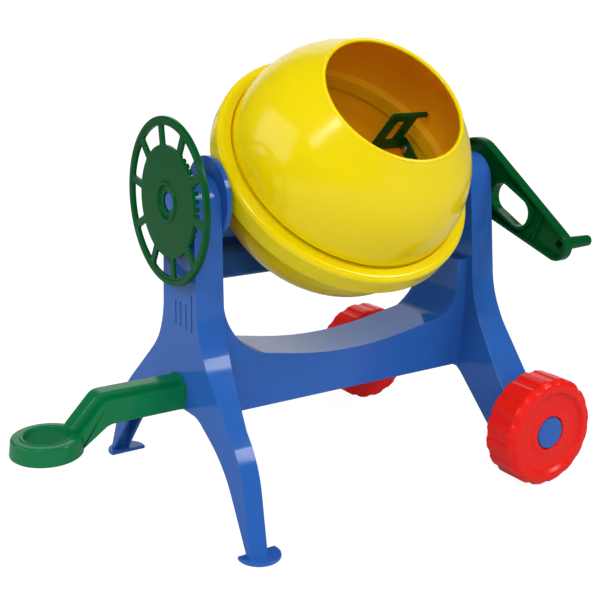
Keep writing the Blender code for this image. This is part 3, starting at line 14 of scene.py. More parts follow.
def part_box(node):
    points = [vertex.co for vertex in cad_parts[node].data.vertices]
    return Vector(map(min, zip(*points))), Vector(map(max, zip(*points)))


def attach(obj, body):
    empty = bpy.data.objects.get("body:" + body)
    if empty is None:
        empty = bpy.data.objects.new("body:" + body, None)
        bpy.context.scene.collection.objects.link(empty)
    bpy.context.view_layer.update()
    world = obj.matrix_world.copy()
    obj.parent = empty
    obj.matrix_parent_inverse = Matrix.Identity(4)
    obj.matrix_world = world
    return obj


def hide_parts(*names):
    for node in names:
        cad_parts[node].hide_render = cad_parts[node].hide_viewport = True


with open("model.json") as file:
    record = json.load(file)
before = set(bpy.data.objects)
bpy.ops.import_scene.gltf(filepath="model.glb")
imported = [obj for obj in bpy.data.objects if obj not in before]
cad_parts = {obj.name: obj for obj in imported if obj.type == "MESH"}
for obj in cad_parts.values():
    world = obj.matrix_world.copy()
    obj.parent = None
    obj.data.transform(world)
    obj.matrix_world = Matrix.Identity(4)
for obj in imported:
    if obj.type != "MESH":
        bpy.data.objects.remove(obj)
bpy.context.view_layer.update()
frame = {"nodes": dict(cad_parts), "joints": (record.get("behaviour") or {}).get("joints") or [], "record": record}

# Frames of the model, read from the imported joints
JOINTS = {joint["name"]: joint for joint in frame["joints"]}
TILT_POINT = Vector(JOINTS["drum_tilt"]["pos_m"])
DRUM_AXIS = Vector(JOINTS["drum_spin"]["axis"])
AXLE_POINT = Vector(JOINTS["front_wheel_spin"]["pos_m"])
PER_METRE = 1000
MILLIMETRE = Matrix.Scale(1 / PER_METRE, 4)
DRUM_TILT = math.atan2(-DRUM_AXIS.y, DRUM_AXIS.z)
CRANK_DROP = math.radians(25.2)  # the crank's arm below the horizontal
MODEL = Matrix.Translation((TILT_POINT.x, 0, 0)) @ MILLIMETRE
DRUM = Matrix.Translation(TILT_POINT) @ Matrix.Rotation(DRUM_TILT, 4, "X") @ MILLIMETRE
CRANK = Matrix.Translation(TILT_POINT) @ Matrix.Rotation(math.pi + CRANK_DROP, 4, "X") @ MILLIMETRE
WHEELS = Matrix.Translation((AXLE_POINT.x, 0, AXLE_POINT.z)) @ MILLIMETRE
TILT_HEIGHT = TILT_POINT.z * PER_METRE
AXLE_X = (AXLE_POINT.x - TILT_POINT.x) * PER_METRE
AXLE_HEIGHT = AXLE_POINT.z * PER_METRE
GAP = 0.3
PAST = 4.0  # how far a cutter runs past what it cuts
MERGE = 0.001  # points nearer to each other than this are one
HAIR = 0.0001
SIDE_SHARE = 0.49  # an arc takes at most this share of a side that it joins
END_SHARE = 0.98  # and this share of the first side of an open outline
MITRE_LIMIT = 0.5  # keeps an inset's sharp corners in
FLAT_WEIGHT = 80  # how far large faces lead the shading
TURN_STEPS = 64
SMALL_TURN_STEPS = 48

# Outlines and sections below are corners: two places in millimetres and the corner's rounding

# End frames
POST_LEFT = (-130.5, -108.5)
POST_RIGHT = (119.0, 141.0)
POST_TOP = 243.5
POST_HALF = 22.0
POST_ROUND = 21.5
WALL = 2.4
LEAN_START = 120.0
LEAN_CUT = 12.0  # cuts this far off keep the crease's shading near it
LEG_LEAN = 0.067
FRAME_EDGE = 2.0  # rounding of the frame's outer edges
LEG_NARROWING = 8.0  # the legs' inner sides are set towards -X by this much
NARROW_FROM = 28.0
NARROW_TO = 75.0
NARROW_CUT = 8.0  # the same for the narrowing
HOLLOW_BOTTOM = -20.0  # the frames' hollows run out below the floor
BEARING_BOSS = 16.5
BEARING_BORE = 12.6
BOSS_INSET = 1.0  # the boss ends this far inside the frame's faces
POST_LINE = [(0, POST_TOP, 0), (POST_HALF, POST_TOP, POST_ROUND)]
LEFT_SIDE = POST_LINE + [(26.3, 124.9, 64), (93.3, 60.5, 75), (112, 0, 0)]
LEFT_ARCH = [(109, 0, 0), (69.6, 54.7, 120), (29.9, 75.5, 25), (0, 75.5, 0)]
RIGHT_SIDE = POST_LINE + [(36, 124.8, 75), (98.2, 57, 12), (98.2, 20.5, 0)]
RIGHT_ARCH = [(98.2, 20.5, 0), (17.5, 71, 8), (0, 71, 0)]
FOOT_RADIUS = 15.2
FOOT_HEIGHT = 2.6
FOOT_HALF = 105.0
FOOT_INNER_REACH = 4.0
FOOT_EDGE = 0.9
FOOT_STEPS = 40
VENTS = ((-9.5, 135.7, 153.7), (-1.5, 135.7, 153.7), (6.0, 135.7, 153.7), (-18.0, 135.0, 163.0))
VENT_HALF = 0.8
VENT_DEPTH = 1.1
LEG_END = 98.2
PIN_DEPTH = 20.0
PIN_RADIUS = 5.0
PIN_BOSS = 7.7
PIN_BOSS_SINK = 0.6  # the pin's boss ends this far inside the leg

# Saddle
SADDLE_HALF = 25.0
SADDLE_BOTTOM = 71.5
SADDLE_DIP = (4.5, 98.9)
SADDLE_SLOPE = math.radians(10)
SADDLE_DIP_ROUND = 330.0
SADDLE_EDGE = 1.8
HORN_LEFT = 48.0  # radius of the curve up to the left post
HORN_RIGHT = 50.0
HORN_RISE = 1.02  # the horns' tips end just above their curves
HORN_SINK = 0.4  # the left horn ends this far inside its post
RIGHT_HORN_THICKNESS = 9.3
SADDLE_SINK = 2.0
SADDLE_CORNER = 3.0  # rounding below the beam, at the right legs
SADDLE_CORNER_RUN = 9.0
SADDLE_HOLLOW_FOOT = 50.0
SADDLE_HOLLOW_ROUND = 6.0

# Drawbar
EYE_X = POST_LEFT[0] - GAP - 99.3
EYE_RADIUS = 25.2
EYE_HOLE = 16.0
EYE_BOTTOM = 60.0
EYE_TOP = 74.3
EYE_STEPS = 96
BAR_ROOT = POST_LEFT[0] - GAP
BAR_HALF = 12.0
BAR_BOTTOM = 77.0
BAR_TOP = 94.5
BAR_EDGE = 1.8
BAR_BEND = BAR_ROOT - 61.5
BAR_NECK = BAR_BEND - 22.0
NECK_TOP = EYE_TOP - 0.8
NECK_BOTTOM = EYE_BOTTOM + 0.8
NECK_END = EYE_X + EYE_RADIUS - 5.0
RIDGE_HALF = 6.5
RIDGE_TOP = 99.0
RIDGE_CORE = BAR_TOP - 4.5  # the ridge starts inside the bar
RIDGE_EDGE = 1.3
ARM_LINE = [(BAR_ROOT, BAR_TOP, 0), (BAR_ROOT, BAR_BOTTOM, 0), (BAR_BEND + 3, BAR_BOTTOM, 12),
            (BAR_NECK + 3, NECK_BOTTOM, 8), (NECK_END, NECK_BOTTOM, 0), (NECK_END, NECK_TOP, 0),
            (BAR_NECK + 4, NECK_TOP, 6), (BAR_BEND, BAR_TOP, 10)]
RIDGE_LINE = [(BAR_ROOT, RIDGE_TOP, 0), (BAR_ROOT, RIDGE_CORE, 0), (BAR_BEND + 4, RIDGE_CORE, 10),
              (BAR_NECK + 6, EYE_TOP - 4, 4), (BAR_NECK - 3, EYE_TOP + 1, 3),
              (BAR_BEND - 4, RIDGE_TOP, 10)]
ROOT_SPAN = (POST_LEFT[0] - 3.6, POST_LEFT[0] + 0.4)
ROOT_HALF = [(BAR_HALF + 0.5, 76.6, 1.2), (BAR_HALF + 0.5, 94.8, 1.6), (8.0, 95.4, 0.6), (6.9, 99.5, 1.2)]
ROOT_EDGE = 0.5
EYE_RING = [(EYE_HOLE, EYE_TOP - 0.7, 0.8), (EYE_HOLE + 1.8, EYE_TOP, 0.8),
            (EYE_HOLE + 3.0, EYE_TOP - 0.8, 0.6), (EYE_RADIUS - 0.7, EYE_TOP - 0.9, 1.8),
            (EYE_RADIUS, EYE_BOTTOM + 1.2, 1.4), (EYE_RADIUS - 1.6, EYE_BOTTOM, 0.5),
            (EYE_HOLE, EYE_BOTTOM, 0.8)]

# Road wheels
WHEEL_RADIUS = 43.0
WHEEL_INNER = 99.4
WHEEL_OUTER = WHEEL_INNER + 29.5
WHEEL_BORE = PIN_RADIUS + 0.6
WHEEL_LUGS = 16
LUG_DEPTH = 1.1
LUG_FOOT = 36.5  # the lugs fade out at this radius, on the shoulder
LUG_SHARE = 0.60
LUG_FLANK = 0.06  # share of the pitch that a lug's flank takes
LUG_STEPS = 14
PIN_HEAD = 12.5
PIN_TOP = WHEEL_OUTER - 2.0
PIN_SEAT = WHEEL_OUTER - 5.0
PIN_TIP = LEG_END - PIN_DEPTH
WELL_RADIUS = PIN_HEAD + 0.9  # the pin's head lies in a well
WELL_FLOOR = WHEEL_OUTER - 5.3
HUB_FACE = WHEEL_OUTER - 2.4
WHEEL_LINE = [(WHEEL_BORE, WHEEL_INNER, 0.3), (38.0, WHEEL_INNER, 1.0),
              (WHEEL_RADIUS, WHEEL_INNER + 1.0, 1.6), (WHEEL_RADIUS, WHEEL_OUTER - 4.5, 3.5),
              (39.5, WHEEL_OUTER - 0.3, 3.0), (33.2, WHEEL_OUTER, 1.2), (30.6, WHEEL_OUTER - 2.6, 1.2),
              (21.0, WHEEL_OUTER - 3.0, 0.8), (17.0, HUB_FACE, 0.8), (WELL_RADIUS, HUB_FACE, 0.5),
              (WELL_RADIUS, WELL_FLOOR, 0), (WHEEL_BORE, WELL_FLOOR, 0)]
PIN_LINE = [(0.0, PIN_TOP, 0), (PIN_HEAD, PIN_TOP - 0.2, 0.8), (PIN_HEAD, PIN_SEAT, 0),
            (PIN_RADIUS, PIN_SEAT, 0), (PIN_RADIUS, PIN_TIP, 0.5), (0.0, PIN_TIP, 0)]

# Drum
DRUM_STEPS = 160
DRUM_WALL = 2.4
BOWL_RADIUS = 90.0
BOWL_FLOOR = -66.0
BOWL_INNER = BOWL_RADIUS - DRUM_WALL
BAND_RADIUS = 102.0
BAND_INNER = BAND_RADIUS - DRUM_WALL
BAND_TOP = 28.3
BAND_BOTTOM = 11.0
SEAM_HEIGHT = 26.6
SEAM_RADIUS = 88.5
SEAM_CHAMFER = (0.5, 0.8)
BOWL_RIM = SEAM_HEIGHT - 0.4
LEDGE = SEAM_HEIGHT - DRUM_WALL
HUB_RADIUS = 14.0
HUB_HOLE = 5.6
HUB_END = -77.2
HUB_CHAMFER = 0.8
BOWL_OUTSIDE = [(HUB_RADIUS, BOWL_FLOOR - 1, 0), (45, BOWL_FLOOR, 24), (BOWL_RADIUS, -19.7, 42),
                (BOWL_RADIUS, LEDGE, 0)]
BAND_LINE = [(BAND_INNER, LEDGE, 0.5), (BAND_INNER, BAND_BOTTOM, 0.4), (BAND_RADIUS, BAND_BOTTOM, 0.6),
             (BAND_RADIUS, BAND_TOP, 4.5), (92.2, BAND_TOP - 0.4, 1.2), (90.6, BOWL_RIM - 0.2, 0.5),
             (SEAM_RADIUS, BOWL_RIM, 0)]
BOWL_INSIDE = [(BOWL_INNER, BOWL_RIM, 0), (BOWL_INNER, -19.7, 42 - DRUM_WALL),
               (45, BOWL_FLOOR + DRUM_WALL, 24 - DRUM_WALL), (HUB_HOLE, BOWL_FLOOR + DRUM_WALL, 0)]
HUB_LINE = [(HUB_HOLE, HUB_END), (HUB_RADIUS - HUB_CHAMFER, HUB_END), (HUB_RADIUS, HUB_END + HUB_CHAMFER)]
MOUTH_RADIUS = 53.5
MOUTH_HEIGHT = 103.0
DOME_WIDEST = 91.2
DOME_ROUND = 81.0
DOME_CENTRE = 30.0
DOME_STEPS = 30
SHELL_WALL = 2.2
MOUTH_INSET = (0.7, 0.5)  # its inner edge, in and down, as shares of the wall
LIP_RADIUS = 1.5
LIP_PROUD = 0.3
LIP_START = -40.0
LIP_SWEEP = 250.0
LIP_STEPS = 14
SPIGOT_RADIUS = BOWL_INNER - GAP
SPIGOT_WALL = 2.4
SPIGOT_DEPTH = 9.0
SPIGOT_RISE = 2.0
# faces picked out by these two get the painted shade of the drum's inside
LOOKS_IN = 0.2  # how squarely an inside face looks at the drum's axis
LOOKS_UP = 0.5

# Mixing paddle
PADDLE_SIDE = 28.0
PADDLE_HALF = 1.3
PADDLE_FACE = 79.8  # its foot lies on the drum's wall here
PADDLE_LINE = [(47, 4, 2), (PADDLE_FACE, 4, 1), (PADDLE_FACE, 14, 1), (72, 18, 3), (72, 42.3, 1),
               (80.8, 42.3, 1), (80.8, 46, 1), (47, 46, 2)]
PADDLE_WINDOW = [(54.5, 14, 2), (64.5, 14, 2), (64.5, 38.5, 2), (54.5, 38.5, 2)]
PADDLE_FOOT = ((PADDLE_FACE - 2.6, PADDLE_SIDE - 24, 4), (PADDLE_FACE, PADDLE_SIDE - 0.5, 14))
PADDLE_EDGE = 0.5

# Hand wheel
HAND_OUT = -139.5  # outer and inner side of its plate
HAND_IN = -137.3
HAND_RADIUS = 59.0
HAND_RIM = 55.0
HAND_LIP = 0.8
HAND_BORE = 6.9
HAND_STEPS = 160
HAND_EDGE = 0.4
RIM_OUT = HAND_OUT - HAND_LIP
RIM_IN = HAND_IN + HAND_LIP
WINDOW_COUNT = 10
WINDOW_OUTER = 53.0
WINDOW_INNER = 39.5
WINDOW_ROUND = 1.4
WINDOW_STEPS = 8
SPOKE_HALF = 2.6
DETENT_OUTER = 35.0
DETENT_INNER = 32.0
DETENT_END = -132.3
DETENT_TEETH = 40
DETENT_NOTCH = 2.6
DETENT_FOOT = DETENT_END - DETENT_NOTCH
TOOTH_HALF = 0.27  # share of the pitch
TOOTH_SINK = 0.3
HAND_LINE = [(HAND_BORE, -138.2, 0.3), (11.0, -138.6, 0.6), (12.0, -140.6, 0.5), (14.2, -140.6, 0.6),
             (14.8, HAND_OUT, 0.8), (HAND_RIM - 0.5, HAND_OUT, 0.4), (HAND_RIM, RIM_OUT, 0.4),
             (HAND_RADIUS, RIM_OUT, 1.2), (HAND_RADIUS, RIM_IN, 1.2), (HAND_RIM, RIM_IN, 0.4),
             (HAND_RIM - 0.5, HAND_IN, 0.4), (DETENT_OUTER, HAND_IN, 0.3), (DETENT_OUTER, DETENT_FOOT, 0.2),
             (DETENT_INNER, DETENT_FOOT, 0.2), (DETENT_INNER, HAND_IN, 0.3), (HAND_BORE, HAND_IN, 0.3)]

# Yoke and what turns in it
ARM_OUT = 107.9
ARM_IN = 104.5
STRAP_TOP = -78.0
STRAP_BOTTOM = -81.4
STRAP_HALF = 22.0
STRAP_OUTSIDE = [(ARM_OUT, 8, 0), (ARM_OUT, -12, 10), (97, STRAP_BOTTOM, 10)]
STRAP_INSIDE = [(93.6, STRAP_TOP, 6.6), (ARM_IN, -12, 10), (ARM_IN, 8, 0)]
YOKE_EDGE = 0.6
YOKE_DISC = 30.0
DISC_PROUD = 0.1
DISC_STEPS = 96
SLOT_MIDDLE = (52.0, 5.0)
SLOT_REACH = 22.0
SLOT_HALF = 7.5
PAN_FLOOR = STRAP_BOTTOM - 7.0
PAN_WALL = 1.6
PAN_OVERLAP = 1.0
AXLE_HOLE = 5.3
TRUNNION_HOLE = 7.3
SHAFT_HOLE = 5.6
TRUNNION_RADIUS = 12.0
TRUNNION_LINE = [(0.0, -104.7, 0), (7, -104.7, 0.4), (7, -108.2, 0), (TRUNNION_RADIUS, -108.2, 0.4),
                 (TRUNNION_RADIUS, DETENT_END, 0.6), (6.6, DETENT_END, 0), (6.6, -137.4, 0.8),
                 (0.0, -137.4, 0)]
SLEEVE_LINE = [(SHAFT_HOLE, 108.2, 0.3), (16.5, 108.2, 0.5), (16.5, 118.4, 0.8),
               (TRUNNION_RADIUS, 118.4, 0), (TRUNNION_RADIUS, 142.0, 0.8), (SHAFT_HOLE, 142.0, 0.5)]
AXLE_LINE = [(0.0, -85.4, 0), (9, -85.4, 1.2), (9, -81.7, 0.3), (5, -81.7, 0), (5, -58.1, 0.4),
             (0.0, -58.1, 0)]
CAP_LINE = [(AXLE_HOLE, -63.0, 0), (10, -63.0, 0.4), (10, -56.5, 2.2), (0.0, -56.5, 0)]
CAP_INSIDE = [(0.0, -57.8), (AXLE_HOLE, -57.8)]

# Crank
CRANK_INNER = 144.0
CRANK_OUTER = 152.0
CRANK_WALL = 2.4
CRANK_WEB = CRANK_OUTER - CRANK_WALL
CRANK_HUB = 28.2
CRANK_HUB_STEPS = 48
CRANK_END = 12.3
CRANK_END_STEPS = 24
CRANK_LENGTH = 104.0
CRANK_EDGE = 1.0
CRANK_FINE_EDGE = 0.4
CRANK_BOSS = 10.0
CRANK_BOSS_PROUD = 0.6
CRANK_BORE = 5.3
SCREW_WAY = 1.8
HOLE_MIDDLE = 48.5  # the long hole, along the arm
HOLE_REACH = 22.0
HOLE_HALF = 11.5
HOLE_WALL_PROUD = 0.4
RIB_TOP = CRANK_INNER + 2.5
RIB_ROOT = CRANK_WEB + 1.0  # ribs, boss and the hole's wall end inside the web
RIB_HALF = 0.7
RIBS = (((80.0, -13.6), (81.4, 13.6)),
        ((8.0, -RIB_HALF), (25.0, RIB_HALF)),
        ((HOLE_MIDDLE - RIB_HALF, -18.0), (HOLE_MIDDLE + RIB_HALF, -12.5)),
        ((HOLE_MIDDLE - RIB_HALF, 12.5), (HOLE_MIDDLE + RIB_HALF, 18.0)),
        ((-25.5, -RIB_HALF), (-8.0, RIB_HALF)))
PEG_TIP = 182.5
PEG_ROOT = CRANK_OUTER - 0.5
PEG_LINE = [(0.0, PEG_TIP, 0), (4.3, PEG_TIP, 1.6), (5.2, CRANK_OUTER + 1.4, 0.8), (7.0, PEG_ROOT, 0),
            (0.0, PEG_ROOT, 0)]
PEG_CORE_HALF = 3.0  # the peg is hollow from the crank's tray
PEG_CORE_SPAN = (CRANK_WEB - 1.0, CRANK_OUTER + 12.0)

# Screws
SCREW_RADIUS = 1.5
SCREW_POINT = 1.2
SCREW_TIP = 0.4
SCREW_STEPS = 40
SCREW_HEAD = [(0.0, 0, 0), (2.4, 0.25, 1.2), (3.2, 1.2, 0.6), (3.2, 2.0, 0), (SCREW_RADIUS, 2.0, 0)]
CROSS_HALF = 0.35
CROSS_REACH = 1.7
CROSS_DEPTH = 0.95
NODE_EDGE = 0.0003  # metres: edges of the nodes that show as they are
NODE_EDGE_ANGLE = math.radians(40)

# Plastics and steel
PLASTIC_IOR = 1.5
FLOW_MARKS = (9.0, 3.0)  # scale and detail of a noise
GLOSS_MARKS = (60.0, 5.0)
RIPPLE_MARKS = (1100.0, 2.0)
RIPPLE_STRENGTH = 0.012
RIPPLE_DEPTH = 0.0004
NOISE_SPAN = (0.3, 0.7)
GLOSS_SPREAD = (0.85, 1.2)  # shares of a plastic's roughness
SHEER_RADIUS = (1.0, 0.5, 0.02)  # red light goes furthest through the yellow wall
SHEER_DEPTH = 0.006
GRIME_MARKS = (700.0, 4.0)
DULL_ZINC = (0.42, 0.42, 0.43, 1)
BRIGHT_ZINC = (0.66, 0.67, 0.69, 1)
ZINC_ROUGHNESS = (0.25, 0.45)

# Studio
SENSOR = 36.0
LENS = 65.86
VIEW_DEPTH = 50.0
CAMERA_PLACE = (-476.6, -674.0, 366.1)
CAMERA_YAW = 0.5879
CAMERA_PITCH = -0.2720
CAMERA_ROLL = 0.0142
WHITE = (1, 1, 1, 1)
BACKDROP_RISE = 0.15
BEHIND = Vector((math.sin(CAMERA_YAW), math.cos(CAMERA_YAW), BACKDROP_RISE)).normalized()
BACKDROP_EDGE = (0.78, 0.93)  # it fades in between these shares of facing it
FILL = 0.56  # light of the room on the object
ROOM = 0.06  # what gloss shows of the room before the object
FLOOR_HALF = 30.0
FLOOR_DROP = 0.0005
FLOOR_ROUGHNESS = 0.8
FLOOR_GLOW = 0.90
FLOOR_WHITE = (0.6, 0.6, 0.6, 1)
FLOOR_SHADE = (0.25, 0.25, 0.25, 1)  # lets a soft shadow show in the white
AIM = Vector((0.0, 0.0, 0.16))
# Name, way from the aim, distance, width, height, power, and whether gloss shows the lamp
LAMPS = (("left_window", (-0.84, 0.30, 0.42), 1.8, 1.5, 1.0, 9.5, True),
         ("right_box", (0.50, -0.56, 0.62), 1.6, 0.5, 0.45, 8.0, True),
         ("edge_box", (-0.66, -0.42, 0.60), 1.7, 0.40, 0.40, 5.0, True),
         ("front_fill", (-0.35, -0.80, 0.45), 1.9, 1.0, 1.0, 13.0, False))


def rounded(corners, closed=True, step=6.0):
    """Points of an outline given as (u, v, radius) corners, with an arc at each corner."""
    points = []
    count = len(corners)
    for index, (u, v, radius) in enumerate(corners):
        here = Vector((u, v))
        if radius <= 0 or (not closed and index in (0, count - 1)):
            points.append((u, v))
            continue
        before = Vector(corners[index - 1][:2]) - here
        after = Vector(corners[(index + 1) % count][:2]) - here
        turn = math.pi - before.angle(after)
        room = END_SHARE if index == 1 and not closed else SIDE_SHARE
        reach = min(radius * math.tan(turn / 2), room * before.length, SIDE_SHARE * after.length)
        bend = reach / math.tan(turn / 2)
        centre = here + (before.normalized() + after.normalized()).normalized() * (
            bend / math.cos(turn / 2))
        first = here + before.normalized() * reach - centre
        side = 1.0 if before.cross(after) < 0 else -1.0
        pieces = max(2, math.ceil(math.degrees(turn) / step))
        for piece in range(pieces + 1):
            angle = side * turn * piece / pieces
            points.append((centre.x + first.x * math.cos(angle) - first.y * math.sin(angle),
                           centre.y + first.x * math.sin(angle) + first.y * math.cos(angle)))
    return points


def mirrored(half):
    """An outline from its points at u >= 0, top to bottom."""
    return half + [(-u, v) for u, v in reversed(half) if u > MERGE]


def flipped(corners):
    """The mirror image of corners, in the order that carries their outline on."""
    return [(-u, v, radius) for u, v, radius in reversed(corners)]


def oblong(u, v, reach, half, step):
    """A long outline with round ends about the point u, v."""
    return rounded([(u - reach, v - half, half), (u + reach, v - half, half),
                    (u + reach, v + half, half), (u - reach, v + half, half)], step=step)


def mesh_piece(name, shape):
    """A new object from a shape, with its doubles merged and its faces turned outwards."""
    bmesh.ops.remove_doubles(shape, verts=shape.verts, dist=MERGE)
    bmesh.ops.recalc_face_normals(shape, faces=shape.faces)
    mesh = bpy.data.meshes.new(name)
    shape.to_mesh(mesh)
    shape.free()
    piece = bpy.data.objects.new(name, mesh)
    bpy.context.scene.collection.objects.link(piece)
    return piece


AXES = {
    "YZ": lambda u, v, w: (w, u, v),
    "XZ": lambda u, v, w: (u, w, v),
    "XY": lambda u, v, w: (u, v, w),
}


def extruded(name, outline, low, high, plane):
    """A closed outline as a solid between two levels along the third axis."""
    shape = bmesh.new()
    place = AXES[plane]
    bottom = [shape.verts.new(place(u, v, low)) for u, v in outline]
    top = [shape.verts.new(place(u, v, high)) for u, v in outline]
    count = len(outline)
    for index in range(count):
        after = (index + 1) % count
        shape.faces.new((bottom[index], bottom[after], top[after], top[index]))
    shape.faces.new(bottom)
    shape.faces.new(top)
    bmesh.ops.remove_doubles(shape, verts=shape.verts, dist=HAIR)
    bmesh.ops.dissolve_degenerate(shape, edges=shape.edges, dist=HAIR)
    return mesh_piece(name, shape)


def turned(name, section, steps, axis="Z", shaped=None):
    """A closed section of (radius, height) points turned about an axis; shaped may vary the radius."""
    shape = bmesh.new()
    rings = []
    for radius, height in section:
        if radius < MERGE:
            rings.append([shape.verts.new((0.0, 0.0, height))])
            continue
        ring = []
        for index in range(steps):
            turn = 2 * math.pi * index / steps
            reach = shaped(radius, turn) if shaped else radius
            ring.append(shape.verts.new((reach * math.cos(turn), reach * math.sin(turn), height)))
        rings.append(ring)
    for low, high in zip(rings, rings[1:] + rings[:1]):
        for index in range(steps):
            after = (index + 1) % steps
            corners = [low[index % len(low)], low[after % len(low)],
                       high[after % len(high)], high[index % len(high)]]
            unique = list(dict.fromkeys(corners))
            if len(unique) > 2:
                shape.faces.new(unique)
    swap = {"X": lambda c: (c.z, c.x, c.y), "Y": lambda c: (c.y, c.z, c.x), "Z": lambda c: tuple(c)}
    for vertex in shape.verts:
        vertex.co = swap[axis](vertex.co)
    return mesh_piece(name, shape)


def bar(name, radius, low, high, axis="X", steps=TURN_STEPS):
    """A round bar between two levels along an axis."""
    return turned(name, [(0.0, high), (radius, high), (radius, low), (0.0, low)], steps, axis)


def block(name, low, high):
    """A box between two corners."""
    shape = bmesh.new()
    bmesh.ops.create_cube(shape, size=1.0)
    for vertex in shape.verts:
        vertex.co = [low[k] + (high[k] - low[k]) * (vertex.co[k] + 0.5) for k in range(3)]
    return mesh_piece(name, shape)


def moved(piece, x=0.0, y=0.0, z=0.0):
    piece.data.transform(Matrix.Translation((x, y, z)))
    return piece


def bake(piece):
    """Turn a piece's modifiers into its mesh."""
    graph = bpy.context.evaluated_depsgraph_get()
    mesh = bpy.data.meshes.new_from_object(piece.evaluated_get(graph))
    piece.modifiers.clear()
    piece.data = mesh
    return piece


def combine(piece, operation, tools):
    """Join tools to a piece or cut them from it, and remove them."""
    for tool in tools:
        modifier = piece.modifiers.new("combine", "BOOLEAN")
        modifier.operation = operation
        modifier.solver = "EXACT"
        modifier.object = tool
    bake(piece)
    for tool in tools:
        bpy.data.objects.remove(tool)
    return piece


def cut(piece, *tools):
    return combine(piece, "DIFFERENCE", tools)


def fuse(piece, *tools):
    return combine(piece, "UNION", tools)


def bevel(piece, width, angle, segments=3):
    """Round the edges that are sharper than an angle in degrees."""
    modifier = piece.modifiers.new("edges", "BEVEL")
    modifier.width = width
    modifier.segments = segments
    modifier.limit_method = "ANGLE"
    modifier.angle_limit = math.radians(angle)
    modifier.use_clamp_overlap = True
    modifier.miter_outer = "MITER_ARC"
    return bake(piece)


def joined(name, pieces):
    """One object from the meshes of several."""
    shape = bmesh.new()
    for piece in pieces:
        shape.from_mesh(piece.data)
        bpy.data.objects.remove(piece)
    return mesh_piece(name, shape)


def dress(piece, matrix, body, material, nodes=(), smooth=30.0):
    """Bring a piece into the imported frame, shade it and let it stand for its nodes."""
    piece.data.transform(matrix)
    piece.data.materials.clear()
    piece.data.materials.append(material)
    piece.data.shade_smooth()
    piece.data.set_sharp_from_angle(angle=math.radians(smooth))
    weighted = piece.modifiers.new("normals", "WEIGHTED_NORMAL")
    weighted.keep_sharp = True
    weighted.weight = FLAT_WEIGHT
    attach(piece, body)
    if nodes:
        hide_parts(*nodes)
    return piece


def moulded_plastic(name, colour, deep, roughness, specular, sheer=0.0):
    """Glossy moulded plastic: faint flow marks in the colour, uneven gloss, a trace of ripple.

    sheer is the share of light that goes into the wall and through it, as in the thin drum.
    """
    made = bpy.data.materials.new(name)
    made.use_nodes = True
    nodes = made.node_tree.nodes
    links = made.node_tree.links
    shader = nodes["Principled BSDF"]
    shader.inputs["IOR"].default_value = PLASTIC_IOR
    shader.inputs["Specular IOR Level"].default_value = specular
    shader.inputs["Subsurface Weight"].default_value = sheer
    shader.inputs["Subsurface Radius"].default_value = SHEER_RADIUS
    shader.inputs["Subsurface Scale"].default_value = SHEER_DEPTH
    place = nodes.new("ShaderNodeTexCoord")

    def noise(marks):
        made_noise = nodes.new("ShaderNodeTexNoise")
        made_noise.inputs["Scale"].default_value, made_noise.inputs["Detail"].default_value = marks
        links.new(place.outputs["Object"], made_noise.inputs["Vector"])
        return made_noise.outputs["Fac"]

    tint = nodes.new("ShaderNodeMix")
    tint.data_type = "RGBA"
    tint.inputs["A"].default_value = colour
    tint.inputs["B"].default_value = deep
    links.new(noise(FLOW_MARKS), tint.inputs["Factor"])
    links.new(tint.outputs["Result"], shader.inputs["Base Color"])
    gloss = nodes.new("ShaderNodeMapRange")
    gloss.inputs["From Min"].default_value, gloss.inputs["From Max"].default_value = NOISE_SPAN
    gloss.inputs["To Min"].default_value = roughness * GLOSS_SPREAD[0]
    gloss.inputs["To Max"].default_value = roughness * GLOSS_SPREAD[1]
    links.new(noise(GLOSS_MARKS), gloss.inputs["Value"])
    links.new(gloss.outputs["Result"], shader.inputs["Roughness"])
    ripple = nodes.new("ShaderNodeBump")
    ripple.inputs["Strength"].default_value = RIPPLE_STRENGTH
    ripple.inputs["Distance"].default_value = RIPPLE_DEPTH
    links.new(noise(RIPPLE_MARKS), ripple.inputs["Height"])
    links.new(ripple.outputs["Normal"], shader.inputs["Normal"])
    return made


BLUE = moulded_plastic("blue_moulded", (0.024, 0.116, 0.44, 1), (0.021, 0.105, 0.41, 1), 0.12, 0.28)
YELLOW = moulded_plastic("yellow_moulded", (0.84, 0.66, 0.001, 1), (0.81, 0.62, 0.001, 1), 0.16, 0.36,
                         sheer=0.5)
# painted shade: a deeper, more orange yellow for the drum's inner faces, standing in for the dim light inside it
YELLOW_PAINTED_SHADE = moulded_plastic("yellow_painted_inner_shade", (0.90, 0.52, 0.008, 1), (0.85, 0.48, 0.007, 1), 0.40, 0.2,
                                sheer=0.5)
GREEN = moulded_plastic("green_moulded", (0.002, 0.165, 0.055, 1), (0.002, 0.150, 0.048, 1), 0.20, 0.25)
# painted shade: a darker copy of the green plastic for the hand wheel, the paddle inside the drum and the crank,
# whose faces sit in shade
GREEN_PAINTED_SHADE = moulded_plastic("green_painted_shade", (0.0005, 0.080, 0.018, 1), (0.0005, 0.072, 0.016, 1), 0.20, 0.10)
RED = moulded_plastic("red_moulded", (0.80, 0.012, 0.008, 1), (0.76, 0.010, 0.006, 1), 0.26, 0.22)


